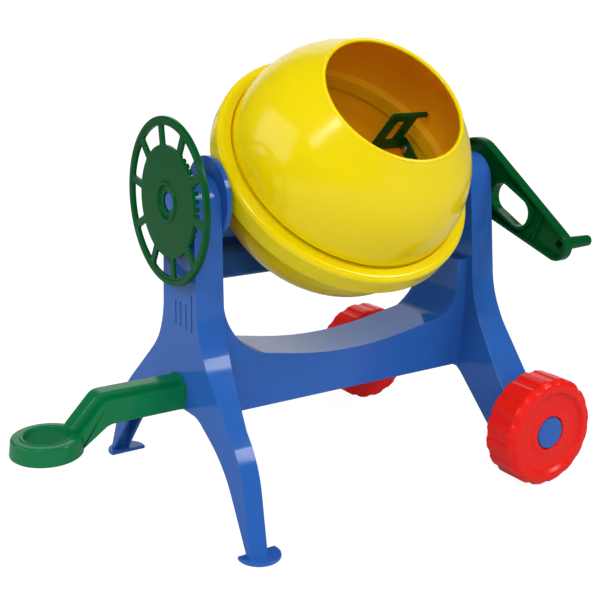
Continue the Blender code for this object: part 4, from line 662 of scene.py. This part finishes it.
def zinc_steel():
    """Zinc-plated steel, a little dull in patches."""
    made = bpy.data.materials.new("zinc_screw")
    made.use_nodes = True
    nodes = made.node_tree.nodes
    links = made.node_tree.links
    shader = nodes["Principled BSDF"]
    shader.inputs["Metallic"].default_value = 1.0
    grime = nodes.new("ShaderNodeTexNoise")
    grime.inputs["Scale"].default_value, grime.inputs["Detail"].default_value = GRIME_MARKS
    tint = nodes.new("ShaderNodeValToRGB")
    tint.color_ramp.elements[0].color = DULL_ZINC
    tint.color_ramp.elements[1].color = BRIGHT_ZINC
    gloss = nodes.new("ShaderNodeMapRange")
    gloss.inputs["To Min"].default_value, gloss.inputs["To Max"].default_value = ZINC_ROUGHNESS
    links.new(grime.outputs["Fac"], tint.inputs["Fac"])
    links.new(grime.outputs["Fac"], gloss.inputs["Value"])
    links.new(tint.outputs["Color"], shader.inputs["Base Color"])
    links.new(gloss.outputs["Result"], shader.inputs["Roughness"])
    return made


STEEL = zinc_steel()


def lean_at(z):
    """How far the lower frame stands off at a height."""
    return LEG_LEAN * min(0.0, z - LEAN_START)


def lean(piece, inner_way=0, middle=0.0):
    """Lean the lower frame towards -X, and set the legs' inner side, at inner_way, towards it too."""
    shape = bmesh.new()
    shape.from_mesh(piece.data)
    levels = (LEAN_START - LEAN_CUT, LEAN_START, LEAN_START + LEAN_CUT)
    planes = [((0, 0, z), (0, 0, 1)) for z in levels]
    if inner_way:
        for y in (NARROW_FROM - NARROW_CUT, NARROW_FROM, NARROW_TO, NARROW_TO + NARROW_CUT):
            planes += [((0, y, 0), (0, 1, 0)), ((0, -y, 0), (0, 1, 0))]
    for point, normal in planes:
        everything = shape.verts[:] + shape.edges[:] + shape.faces[:]
        bmesh.ops.bisect_plane(shape, geom=everything, dist=HAIR, plane_co=point, plane_no=normal)
    for vertex in shape.verts:
        if (vertex.co.x - middle) * inner_way > 0:
            share = (abs(vertex.co.y) - NARROW_FROM) / (NARROW_TO - NARROW_FROM)
            vertex.co.x -= LEG_NARROWING * min(1.0, max(0.0, share))
        vertex.co.x += lean_at(vertex.co.z)
    shape.to_mesh(piece.data)
    shape.free()
    return piece


def inset(points, distance):
    """Move an open outline, running down at u > 0, to its inner side."""
    moved_points = []
    last = len(points) - 1
    for index, point in enumerate(points):
        here = Vector(point)
        into = (here - Vector(points[index - 1])).normalized() if index else None
        out = (Vector(points[index + 1]) - here).normalized() if index < last else into
        into = into or out
        mean = (into + out).normalized()
        spot = here + Vector((mean.y, -mean.x)) * distance / max(MITRE_LIMIT, mean.dot(into))
        moved_points.append((max(spot.x, 0.0), spot.y))
    return moved_points


def end_frame(name, side_line, arch_line, span, inner_way):
    """One end frame: rounded outer solid, hollow inside, with its bearing boss."""
    side = rounded(side_line, closed=False, step=4)
    arch = rounded(arch_line, closed=False, step=4)
    low, high = span
    middle = (low + high) / 2
    body = extruded(name, mirrored(side + arch), low, high, "YZ")
    lean(body, inner_way, middle)
    bevel(body, FRAME_EDGE, angle=50, segments=4)
    inner = inset(side, WALL)
    inner += [(inner[-1][0], HOLLOW_BOTTOM), (0.0, HOLLOW_BOTTOM)]
    hollow = extruded(name + "_hollow", mirrored(inner), low + WALL, high - WALL, "YZ")
    cut(body, lean(hollow, inner_way, middle))
    boss = bar(name + "_boss", BEARING_BOSS, low + BOSS_INSET, high - BOSS_INSET)
    fuse(body, moved(boss, z=TILT_HEIGHT))
    bore = bar(name + "_bore", BEARING_BORE, low - PAST, high + PAST)
    return cut(body, moved(bore, z=TILT_HEIGHT))


def saddle():
    """The bridge under the drum: rounded top edges, hollow below, let into the end frames."""
    dip_x, dip_z = SADDLE_DIP
    low = POST_LEFT[1] + GAP
    high = POST_RIGHT[0] - GAP
    left = POST_LEFT[1] - HORN_SINK
    right = POST_RIGHT[0] - RIGHT_HORN_THICKNESS
    corner = math.tan((math.pi / 2 - SADDLE_SLOPE) / 2)

    def floor(x):
        return dip_z + abs(x - dip_x) * math.tan(SADDLE_SLOPE)

    left_tip = floor(left) + HORN_LEFT * corner * HORN_RISE
    right_tip = floor(right) + HORN_RIGHT * corner * HORN_RISE
    under = SADDLE_BOTTOM - SADDLE_CORNER
    outline = [(low - SADDLE_SINK, SADDLE_BOTTOM), (low - SADDLE_SINK, left_tip)]
    outline += rounded([(left, left_tip, 0), (left, floor(left), HORN_LEFT),
                        (dip_x, dip_z, SADDLE_DIP_ROUND), (right, floor(right), HORN_RIGHT),
                        (right, right_tip, 0)], closed=False, step=3)
    outline += [(high + SADDLE_SINK, right_tip), (high + SADDLE_SINK, under)]
    outline += rounded([(high, under, 0), (high, SADDLE_BOTTOM, SADDLE_CORNER),
                        (high - SADDLE_CORNER_RUN, SADDLE_BOTTOM, 0)], closed=False, step=10)
    body = lean(extruded("saddle", outline, -SADDLE_HALF, SADDLE_HALF, "XZ"))
    bevel(body, SADDLE_EDGE, angle=50, segments=4)
    drop = WALL / math.cos(SADDLE_SLOPE)
    in_low = low + WALL
    in_high = high - WALL
    inside = rounded([(in_low, SADDLE_HOLLOW_FOOT, 0), (in_low, floor(in_low) - drop, SADDLE_HOLLOW_ROUND),
                      (dip_x, dip_z - drop, SADDLE_DIP_ROUND),
                      (in_high, floor(in_high) - drop, SADDLE_HOLLOW_ROUND),
                      (in_high, SADDLE_HOLLOW_FOOT, 0)], step=4)
    half = SADDLE_HALF - WALL
    return cut(body, lean(extruded("saddle_hollow", inside, -half, half, "XZ")))


def foot(sign):
    """Thin disc under a left leg, cut straight on the side of the arch."""
    chord = math.asin(FOOT_INNER_REACH / FOOT_RADIUS)
    middle = sum(POST_LEFT) / 2 + lean_at(0.0)
    outline = []
    for index in range(FOOT_STEPS + 1):
        turn = -chord + (math.pi + 2 * chord) * index / FOOT_STEPS
        outline.append((middle + FOOT_RADIUS * math.cos(turn),
                        sign * (FOOT_HALF + FOOT_RADIUS * math.sin(turn))))
    return bevel(extruded("foot", outline, 0.0, FOOT_HEIGHT, "XY"), FOOT_EDGE, angle=50)


def wheel_boss(sign):
    """The tube inside a right leg that holds its wheel pin."""
    ends = sorted((sign * PIN_TIP, sign * (LEG_END - PIN_BOSS_SINK)))
    inner = PIN_RADIUS + GAP
    tube = [(inner, ends[1]), (PIN_BOSS, ends[1]), (PIN_BOSS, ends[0]), (inner, ends[0])]
    return moved(turned("wheel_boss", tube, SMALL_TURN_STEPS, "Y"), x=AXLE_X, z=AXLE_HEIGHT)


def vent_slots():
    """Fine upright grooves low on the left post's outer face."""
    front = POST_LEFT[0] - PAST
    back = POST_LEFT[0] + VENT_DEPTH
    return joined("vents", [block("vent", (front, y - VENT_HALF, low), (back, y + VENT_HALF, high))
                            for y, low, high in VENTS])


left_end = end_frame("left_end", LEFT_SIDE, LEFT_ARCH, POST_LEFT, 1)
cut(left_end, vent_slots())
dress(left_end, MODEL, "frame", BLUE, ("left_end_frame",))
right_end = end_frame("right_end", RIGHT_SIDE, RIGHT_ARCH, POST_RIGHT, -1)
dress(right_end, MODEL, "frame", BLUE, ("right_end_frame",))
dress(saddle(), MODEL, "frame", BLUE, ("saddle_beam",))
for side_sign in (-1, 1):
    dress(foot(side_sign), MODEL, "frame", BLUE)
    dress(wheel_boss(side_sign), MODEL, "frame", BLUE)


def drawbar_arm():
    """The drawbar's arm: a broad bent bar with a narrower ridge on its back."""
    body = extruded("drawbar_arm", rounded(ARM_LINE), -BAR_HALF, BAR_HALF, "XZ")
    ridge = extruded("drawbar_ridge", rounded(RIDGE_LINE), -RIDGE_HALF, RIDGE_HALF, "XZ")
    return joined("drawbar_arm", [bevel(body, BAR_EDGE, angle=40), bevel(ridge, RIDGE_EDGE, angle=40)])


def bar_collar():
    """The thicker root that butts against the left post."""
    outline = rounded(ROOT_HALF + flipped(ROOT_HALF), step=20)
    return bevel(extruded("drawbar_root", outline, *ROOT_SPAN, "YZ"), ROOT_EDGE, angle=40, segments=2)


def towing_eye():
    """Ring with a raised bead round its hole."""
    return moved(turned("towing_eye", rounded(EYE_RING, step=20), EYE_STEPS), x=EYE_X)


dress(lean(drawbar_arm()), MODEL, "frame", GREEN, ("drawbar",), smooth=40)
dress(lean(bar_collar()), MODEL, "frame", GREEN)
dress(lean(towing_eye()), MODEL, "frame", GREEN)


def lugged(radius, turn):
    """Tread radius at an angle: broad lugs with narrow gaps that fade out on the shoulder."""
    share = min(1.0, max(0.0, (radius - LUG_FOOT) / (WHEEL_RADIUS - LUG_FOOT)))
    phase = (turn * WHEEL_LUGS / (2 * math.pi)) % 1.0
    height = ((LUG_SHARE + LUG_FLANK) / 2 - abs(phase - 0.5)) / LUG_FLANK
    return radius - LUG_DEPTH * share * (1.0 - min(1.0, max(0.0, height)))


def road_wheel(sign):
    """Wheel with a lugged tread, a broad round shoulder and a sunk face round its pin."""
    section = [(radius, sign * height) for radius, height in rounded(WHEEL_LINE, step=12)]
    return turned("road_wheel", section, WHEEL_LUGS * LUG_STEPS, "Y", lugged)


def wheel_pin(sign):
    """The pin a wheel turns on, with its broad head."""
    profile = [(radius, sign * height) for radius, height in rounded(PIN_LINE, closed=False, step=20)]
    return turned("wheel_pin", profile, TURN_STEPS, "Y")


for side_name, side_sign in (("front", -1), ("rear", 1)):
    dress(road_wheel(side_sign), WHEELS, side_name + "_wheel_body", RED,
          (side_name + "_wheel",), smooth=38)
    dress(wheel_pin(side_sign), WHEELS, "frame", BLUE, (side_name + "_wheel_pin",))


def drum_bowl():
    """The lower half: a bowl with the band round its rim and a hub for the axle."""
    outside = rounded(BOWL_OUTSIDE, closed=False, step=3)
    band = rounded(BAND_LINE, closed=False, step=8)
    inside = rounded(BOWL_INSIDE, closed=False, step=3)
    return turned("drum_bowl_fine", outside + band + inside + HUB_LINE, DRUM_STEPS)


def dome_line(inwards):
    """The dome's outer or inner line from its foot: an arc, then the mouth that its tangent reaches."""
    radius = DOME_ROUND - inwards
    middle = DOME_WIDEST - DOME_ROUND
    mouth = Vector((MOUTH_RADIUS - inwards * MOUTH_INSET[0] - middle,
                    MOUTH_HEIGHT - inwards * MOUTH_INSET[1] - DOME_CENTRE))
    leave = math.atan2(mouth.y, mouth.x) - math.acos(radius / mouth.length)
    turns = [leave * index / DOME_STEPS for index in range(DOME_STEPS + 1)]
    points = [(middle + radius * math.cos(t), DOME_CENTRE + radius * math.sin(t)) for t in turns]
    return points, Vector((middle + mouth.x, DOME_CENTRE + mouth.y))


def drum_shell():
    """The dome, with a rounded bead round its mouth and a spigot that sits in the bowl."""
    foot_level = SEAM_HEIGHT + GAP
    dome, mouth = dome_line(0.0)
    along = (mouth - Vector(dome[-1])).normalized()
    outwards = Vector((along.y, -along.x))
    bead = mouth - outwards * (LIP_RADIUS - LIP_PROUD) - along * LIP_RADIUS
    lip = []
    for index in range(LIP_STEPS + 1):
        turn = math.radians(LIP_START + LIP_SWEEP * index / LIP_STEPS)
        lip.append(tuple(bead + (outwards * math.cos(turn) + along * math.sin(turn)) * LIP_RADIUS))
    inside = dome_line(SHELL_WALL)[0][1:][::-1]
    spigot_inner = SPIGOT_RADIUS - SPIGOT_WALL
    spigot_end = foot_level - SPIGOT_DEPTH
    spigot = [(spigot_inner, foot_level + SPIGOT_RISE), (spigot_inner, spigot_end),
              (SPIGOT_RADIUS, spigot_end), (SPIGOT_RADIUS, foot_level)]
    seam = [(SEAM_RADIUS, foot_level), (SEAM_RADIUS + SEAM_CHAMFER[0], foot_level + SEAM_CHAMFER[1])]
    return turned("drum_shell_fine", seam + dome + lip + inside + spigot, DRUM_STEPS)


def paint_inner_shade(piece, bead=0.0):
    """Paint shade on the faces that look at the drum's axis: a deeper orange material that stands in for the dim
    light inside the drum.
    """
    piece.data.materials.append(YELLOW_PAINTED_SHADE)
    turn = DRUM.inverted()
    axis = DRUM_AXIS.normalized()
    for face in piece.data.polygons:
        place = turn @ face.center
        away = face.center - TILT_POINT
        away -= axis * away.dot(axis)
        rising = face.normal.dot(axis)
        inner = face.normal.dot(away) < -LOOKS_IN * away.length or (place.z < 0 and rising > LOOKS_UP)
        if inner and place.z < MOUTH_HEIGHT - bead:
            face.material_index = 1


# the drum's inner faces get a painted shade
paint_inner_shade(dress(drum_bowl(), DRUM, "drum_body", YELLOW, ("drum_bowl",)))
paint_inner_shade(dress(drum_shell(), DRUM, "drum_body", YELLOW, ("drum_shell",)),
              2 * LIP_RADIUS)


def paddle():
    """Mixing blade with a window, a foot on the drum's wall and a bar that reaches the dome."""
    blade = rounded(PADDLE_LINE, step=15)
    body = extruded("paddle", blade, PADDLE_SIDE - PADDLE_HALF, PADDLE_SIDE + PADDLE_HALF, "XZ")
    window = rounded(PADDLE_WINDOW, step=15)
    cut(body, extruded("paddle_window", window, PADDLE_SIDE - PAST, PADDLE_SIDE + PAST, "XZ"))
    fuse(body, block("paddle_foot", *PADDLE_FOOT))
    return bevel(body, PADDLE_EDGE, angle=40, segments=2)


# the paddle gets the green's painted shade
dress(paddle(), DRUM, "drum_body", GREEN_PAINTED_SHADE, ("mixing_paddle",))


def hand_windows():
    """Cutters for the openings between the hand wheel's spokes."""
    windows = []
    sector = 2 * math.pi / WINDOW_COUNT
    ends = (0, WINDOW_STEPS, WINDOW_STEPS + 1, 2 * WINDOW_STEPS + 1)
    for index in range(WINDOW_COUNT):
        middle = sector * (index + 0.5)
        corners = []
        for radius, way in ((WINDOW_OUTER, 1), (WINDOW_INNER, -1)):
            half = sector / 2 - SPOKE_HALF / radius
            for part in range(WINDOW_STEPS + 1):
                turn = middle + way * half * (2 * part / WINDOW_STEPS - 1)
                rounding = WINDOW_ROUND if len(corners) in ends else 0
                corners.append((radius * math.cos(turn), radius * math.sin(turn), rounding))
        windows.append(extruded("window", rounded(corners, step=20), HAND_OUT - PAST, HAND_IN + PAST, "YZ"))
    return joined("windows", windows)


def detent_teeth():
    """Square teeth on the end of the ring behind the hand wheel's plate."""
    teeth = []
    pitch = 2 * math.pi / DETENT_TEETH
    for index in range(DETENT_TEETH):
        turns = [pitch * (index + TOOTH_HALF * step) for step in (-1, 0, 1)]
        outline = [(DETENT_OUTER * math.cos(t), DETENT_OUTER * math.sin(t)) for t in turns]
        outline += [(DETENT_INNER * math.cos(t), DETENT_INNER * math.sin(t)) for t in reversed(turns)]
        teeth.append(extruded("tooth", outline, DETENT_FOOT - TOOTH_SINK, DETENT_END, "YZ"))
    return teeth


def handwheel():
    """Thin spoked wheel with a rim, a short collar and a toothed ring behind."""
    body = turned("handwheel_fine", rounded(HAND_LINE, step=20), HAND_STEPS, "X")
    cut(body, hand_windows())
    bevel(body, HAND_EDGE, angle=45, segments=2)
    return joined("handwheel_fine", [body] + detent_teeth())


def left_trunnion():
    """The stub that turns in the left post and carries the hand wheel."""
    profile = rounded(TRUNNION_LINE, closed=False, step=20)
    return turned("left_trunnion_fine", profile, TURN_STEPS, "X")


def right_sleeve():
    """The sleeve that turns in the right post, with the crank's shaft inside."""
    return turned("right_sleeve_fine", rounded(SLEEVE_LINE, step=20), TURN_STEPS, "X")


def yoke_slot(sign, margin):
    """One of the bar's two slots, widened by a margin."""
    return oblong(sign * SLOT_MIDDLE[0], SLOT_MIDDLE[1], SLOT_REACH + margin, SLOT_HALF + margin, step=12)


def yoke():
    """Strap round the drum's bottom, with two blind pans in its bar and discs at its ends."""
    strap = STRAP_OUTSIDE + flipped(STRAP_OUTSIDE) + flipped(STRAP_INSIDE) + STRAP_INSIDE
    body = extruded("yoke_fine", rounded(strap, step=8), -STRAP_HALF, STRAP_HALF, "XZ")
    for low, high in ((-ARM_OUT, -ARM_IN), (ARM_IN, ARM_OUT)):
        fuse(body, bar("yoke_disc", YOKE_DISC, low - DISC_PROUD, high + DISC_PROUD, "X", DISC_STEPS))
    for sign in (-1, 1):
        fuse(body, extruded("pan", yoke_slot(sign, PAN_WALL), PAN_FLOOR, STRAP_BOTTOM + PAN_OVERLAP, "XY"))
        cut(body, extruded("slot", yoke_slot(sign, 0.0), PAN_FLOOR + PAN_WALL, STRAP_TOP + PAST, "XY"))
    steps = SMALL_TURN_STEPS
    cut(body, bar("axle_hole", AXLE_HOLE, STRAP_BOTTOM - PAST, STRAP_TOP + PAST, "Z", steps))
    cut(body, bar("left_hole", TRUNNION_HOLE, -ARM_OUT - PAST, -ARM_IN + PAST, "X", steps))
    cut(body, bar("shaft_hole", SHAFT_HOLE, ARM_IN - PAST, ARM_OUT + PAST, "X", steps))
    return bevel(body, YOKE_EDGE, angle=40, segments=2)


def drum_axle():
    """The headed axle that the drum turns on."""
    return turned("drum_axle_fine", rounded(AXLE_LINE, closed=False, step=20), SMALL_TURN_STEPS)


def axle_cap():
    """The cap on the axle's end, inside the bowl."""
    profile = rounded(CAP_LINE, closed=False, step=15) + CAP_INSIDE
    return turned("axle_cap_fine", profile, SMALL_TURN_STEPS)


# the hand wheel gets the green's painted shade
dress(handwheel(), DRUM, "yoke_body", GREEN_PAINTED_SHADE, ("handwheel",))
for make, node_name in ((left_trunnion, "left_trunnion"), (right_sleeve, "right_trunnion_sleeve"),
                        (yoke, "yoke"), (drum_axle, "drum_axle"), (axle_cap, "axle_cap")):
    dress(make(), DRUM, "yoke_body", BLUE, (node_name,))


def teardrop(hub, end):
    """Outline of two arcs, round the crank's shaft and round its peg, with straight sides between."""
    spread = math.asin((hub - end) / CRANK_LENGTH)
    points = []
    for index in range(CRANK_HUB_STEPS + 1):
        turn = math.pi / 2 - spread + (math.pi + 2 * spread) * index / CRANK_HUB_STEPS
        points.append((hub * math.cos(turn), hub * math.sin(turn)))
    for index in range(CRANK_END_STEPS + 1):
        turn = spread - math.pi / 2 + (math.pi - 2 * spread) * index / CRANK_END_STEPS
        points.append((CRANK_LENGTH + end * math.cos(turn), end * math.sin(turn)))
    return points


def long_hole(margin):
    """The crank's long hole, widened by a margin."""
    return oblong(HOLE_MIDDLE, 0.0, HOLE_REACH + margin, HOLE_HALF + margin, step=8)


def crank():
    """Open tray with a rim, a walled long hole, thin ribs, a boss and a peg."""
    body = extruded("crank_fine", teardrop(CRANK_HUB, CRANK_END), CRANK_INNER, CRANK_OUTER, "YZ")
    bevel(body, CRANK_EDGE, angle=45)
    tray = teardrop(CRANK_HUB - CRANK_WALL, CRANK_END - CRANK_WALL)
    cut(body, extruded("crank_tray", tray, CRANK_INNER - PAST, CRANK_WEB, "YZ"))
    ribs = [block("rib", (RIB_TOP, *low), (RIB_ROOT, *high)) for low, high in RIBS]
    wall = extruded("ring", long_hole(CRANK_WALL), CRANK_INNER - HOLE_WALL_PROUD, RIB_ROOT, "YZ")
    boss = bar("boss", CRANK_BOSS, CRANK_INNER - CRANK_BOSS_PROUD, RIB_ROOT)
    fuse(body, wall, boss, *ribs)
    hole = extruded("hole", long_hole(0.0), CRANK_INNER - PAST, CRANK_OUTER + PAST, "YZ")
    bore = bar("bore", CRANK_BORE, CRANK_INNER - PAST, CRANK_WEB)
    screw_way = bar("screw_way", SCREW_WAY, CRANK_WEB - PAST, CRANK_OUTER + PAST)
    cut(body, hole, bore, screw_way)
    peg = turned("peg", rounded(PEG_LINE, closed=False, step=12), TURN_STEPS, "X")
    fuse(body, moved(peg, y=CRANK_LENGTH))
    half = PEG_CORE_HALF
    cut(body, block("peg_core", (PEG_CORE_SPAN[0], CRANK_LENGTH - half, -half),
                    (PEG_CORE_SPAN[1], CRANK_LENGTH + half, half)))
    return bevel(body, CRANK_FINE_EDGE, angle=50, segments=2)


# the crank gets the green's painted shade
dress(crank(), CRANK, "crank_body", GREEN_PAINTED_SHADE, ("crank",))


def detailed_screw(node, facing):
    """Pan-head screw with a cross recess, in the place of a plain one along X."""
    low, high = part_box(node)
    low *= PER_METRE
    high *= PER_METRE
    middle = (low + high) / 2
    length = high.x - low.x
    shank = [(SCREW_RADIUS, length - SCREW_POINT, 0), (SCREW_TIP, length, 0), (0.0, length, 0)]
    profile = rounded(SCREW_HEAD + shank, closed=False, step=15)
    body = turned("screw_" + node, profile, SCREW_STEPS, "X")
    cut(body, *(block("cross", (-PAST, -across, -up), (CROSS_DEPTH, across, up))
                for across, up in ((CROSS_REACH, CROSS_HALF), (CROSS_HALF, CROSS_REACH))))
    if facing < 0:
        body.data.transform(Matrix.Rotation(math.pi, 4, "Z"))
    start = low.x if facing > 0 else high.x
    return moved(body, start, middle.y, middle.z)


for body_name, members in frame["record"]["behaviour"]["bodies"].items():
    for member in members:
        if "screw" in member:
            points_left = "right" in member or member.startswith(("drawbar", "crank", "left_trunnion"))
            screw = detailed_screw(member, -1 if points_left else 1)
            dress(screw, MILLIMETRE, body_name, STEEL, (member,))

CARRIED = {"crown_gear": GREEN, "drive_pinion": GREEN, "crank_shaft": BLUE}
for node_name, node_material in CARRIED.items():
    node = frame["nodes"][node_name]
    node.data.materials.clear()
    node.data.materials.append(node_material)
    edges = node.modifiers.new("edges", "BEVEL")
    edges.width = NODE_EDGE
    edges.segments = 2
    edges.limit_method = "ANGLE"
    edges.angle_limit = NODE_EDGE_ANGLE


def surround():
    """White backdrop behind the object, also in its gloss, and an even room light."""
    world = bpy.data.worlds.new("studio")
    world.use_nodes = True
    nodes = world.node_tree.nodes
    links = world.node_tree.links

    def maths(operation, first, second):
        made = nodes.new("ShaderNodeMath")
        made.operation = operation
        for socket, value in zip(made.inputs, (first, second)):
            if isinstance(value, (int, float)):
                socket.default_value = value
            else:
                links.new(value, socket)
        return made.outputs[0]

    path = nodes.new("ShaderNodeLightPath")
    place = nodes.new("ShaderNodeTexCoord")
    facing = nodes.new("ShaderNodeVectorMath")
    facing.operation = "DOT_PRODUCT"
    facing.inputs[1].default_value = BEHIND
    links.new(place.outputs["Generated"], facing.inputs[0])
    backdrop = nodes.new("ShaderNodeMapRange")
    backdrop.interpolation_type = "SMOOTHSTEP"
    backdrop.inputs["From Min"].default_value, backdrop.inputs["From Max"].default_value = BACKDROP_EDGE
    links.new(facing.outputs["Value"], backdrop.inputs["Value"])
    in_gloss = maths("MULTIPLY", path.outputs["Is Glossy Ray"], backdrop.outputs["Result"])
    seen = maths("MAXIMUM", path.outputs["Is Camera Ray"], path.outputs["Is Transmission Ray"])
    white = nodes["Background"]
    white.inputs["Color"].default_value = WHITE
    room = nodes.new("ShaderNodeBackground")
    level = maths("MULTIPLY_ADD", path.outputs["Is Glossy Ray"], ROOM - FILL)
    level.node.inputs[2].default_value = FILL
    links.new(level, room.inputs["Strength"])
    blend = nodes.new("ShaderNodeMixShader")
    links.new(maths("MAXIMUM", seen, in_gloss), blend.inputs["Fac"])
    links.new(room.outputs["Background"], blend.inputs[1])
    links.new(white.outputs["Background"], blend.inputs[2])
    links.new(blend.outputs["Shader"], nodes["World Output"].inputs["Surface"])
    bpy.context.scene.world = world


def floor_material():
    """Matt white floor that the camera sees as white and that keeps the object's shadow."""
    made = bpy.data.materials.new("white_floor")
    made.use_nodes = True
    nodes = made.node_tree.nodes
    links = made.node_tree.links
    shader = nodes["Principled BSDF"]
    seen = nodes.new("ShaderNodeMix")
    seen.data_type = "RGBA"
    seen.inputs["A"].default_value = FLOOR_WHITE
    seen.inputs["B"].default_value = FLOOR_SHADE
    shader.inputs["Roughness"].default_value = FLOOR_ROUGHNESS
    shader.inputs["Specular IOR Level"].default_value = 0.0
    shader.inputs["Emission Color"].default_value = WHITE
    path = nodes.new("ShaderNodeLightPath")
    glow = nodes.new("ShaderNodeMath")
    glow.operation = "MULTIPLY"
    glow.inputs[1].default_value = FLOOR_GLOW
    links.new(path.outputs["Is Camera Ray"], glow.inputs[0])
    links.new(path.outputs["Is Camera Ray"], seen.inputs["Factor"])
    links.new(seen.outputs["Result"], shader.inputs["Base Color"])
    links.new(glow.outputs[0], shader.inputs["Emission Strength"])
    return made


def studio():
    """White floor and surround, a window, two soft boxes and a fill that leaves no reflection."""
    scene = bpy.context.scene
    scene.view_settings.view_transform = "Standard"
    surround()
    shape = bmesh.new()
    bmesh.ops.create_grid(shape, x_segments=1, y_segments=1, size=FLOOR_HALF)
    mesh = bpy.data.meshes.new("floor")
    shape.to_mesh(mesh)
    shape.free()
    mesh.materials.append(floor_material())
    floor = bpy.data.objects.new("floor", mesh)
    floor.location.z = -FLOOR_DROP
    scene.collection.objects.link(floor)
    for name, way, distance, width, height, power, in_gloss in LAMPS:
        lamp = bpy.data.lights.new(name, "AREA")
        lamp.shape = "RECTANGLE"
        lamp.size = width
        lamp.size_y = height
        lamp.energy = power
        holder = bpy.data.objects.new(name, lamp)
        holder.location = AIM + Vector(way).normalized() * distance
        holder.rotation_euler = (AIM - holder.location).to_track_quat("-Z", "Y").to_euler()
        holder.visible_glossy = in_gloss
        scene.collection.objects.link(holder)


def camera():
    """The photograph's view, from its place, its three turns and its lens."""
    flat = math.cos(CAMERA_PITCH)
    forward = Vector((math.sin(CAMERA_YAW) * flat, math.cos(CAMERA_YAW) * flat,
                      math.sin(CAMERA_PITCH)))
    level = Vector((math.cos(CAMERA_YAW), -math.sin(CAMERA_YAW), 0.0))
    above = level.cross(forward)
    right = level * math.cos(CAMERA_ROLL) + above * math.sin(CAMERA_ROLL)
    up = right.cross(forward)
    lens = bpy.data.cameras.new("camera")
    lens.sensor_width = SENSOR
    lens.lens = LENS
    lens.clip_end = VIEW_DEPTH
    holder = bpy.data.objects.new("camera", lens)
    turn = Matrix((right, up, -forward)).transposed().to_4x4()
    holder.matrix_world = Matrix.Translation(MODEL @ Vector(CAMERA_PLACE)) @ turn
    bpy.context.scene.collection.objects.link(holder)
    bpy.context.scene.camera = holder


studio()
camera()
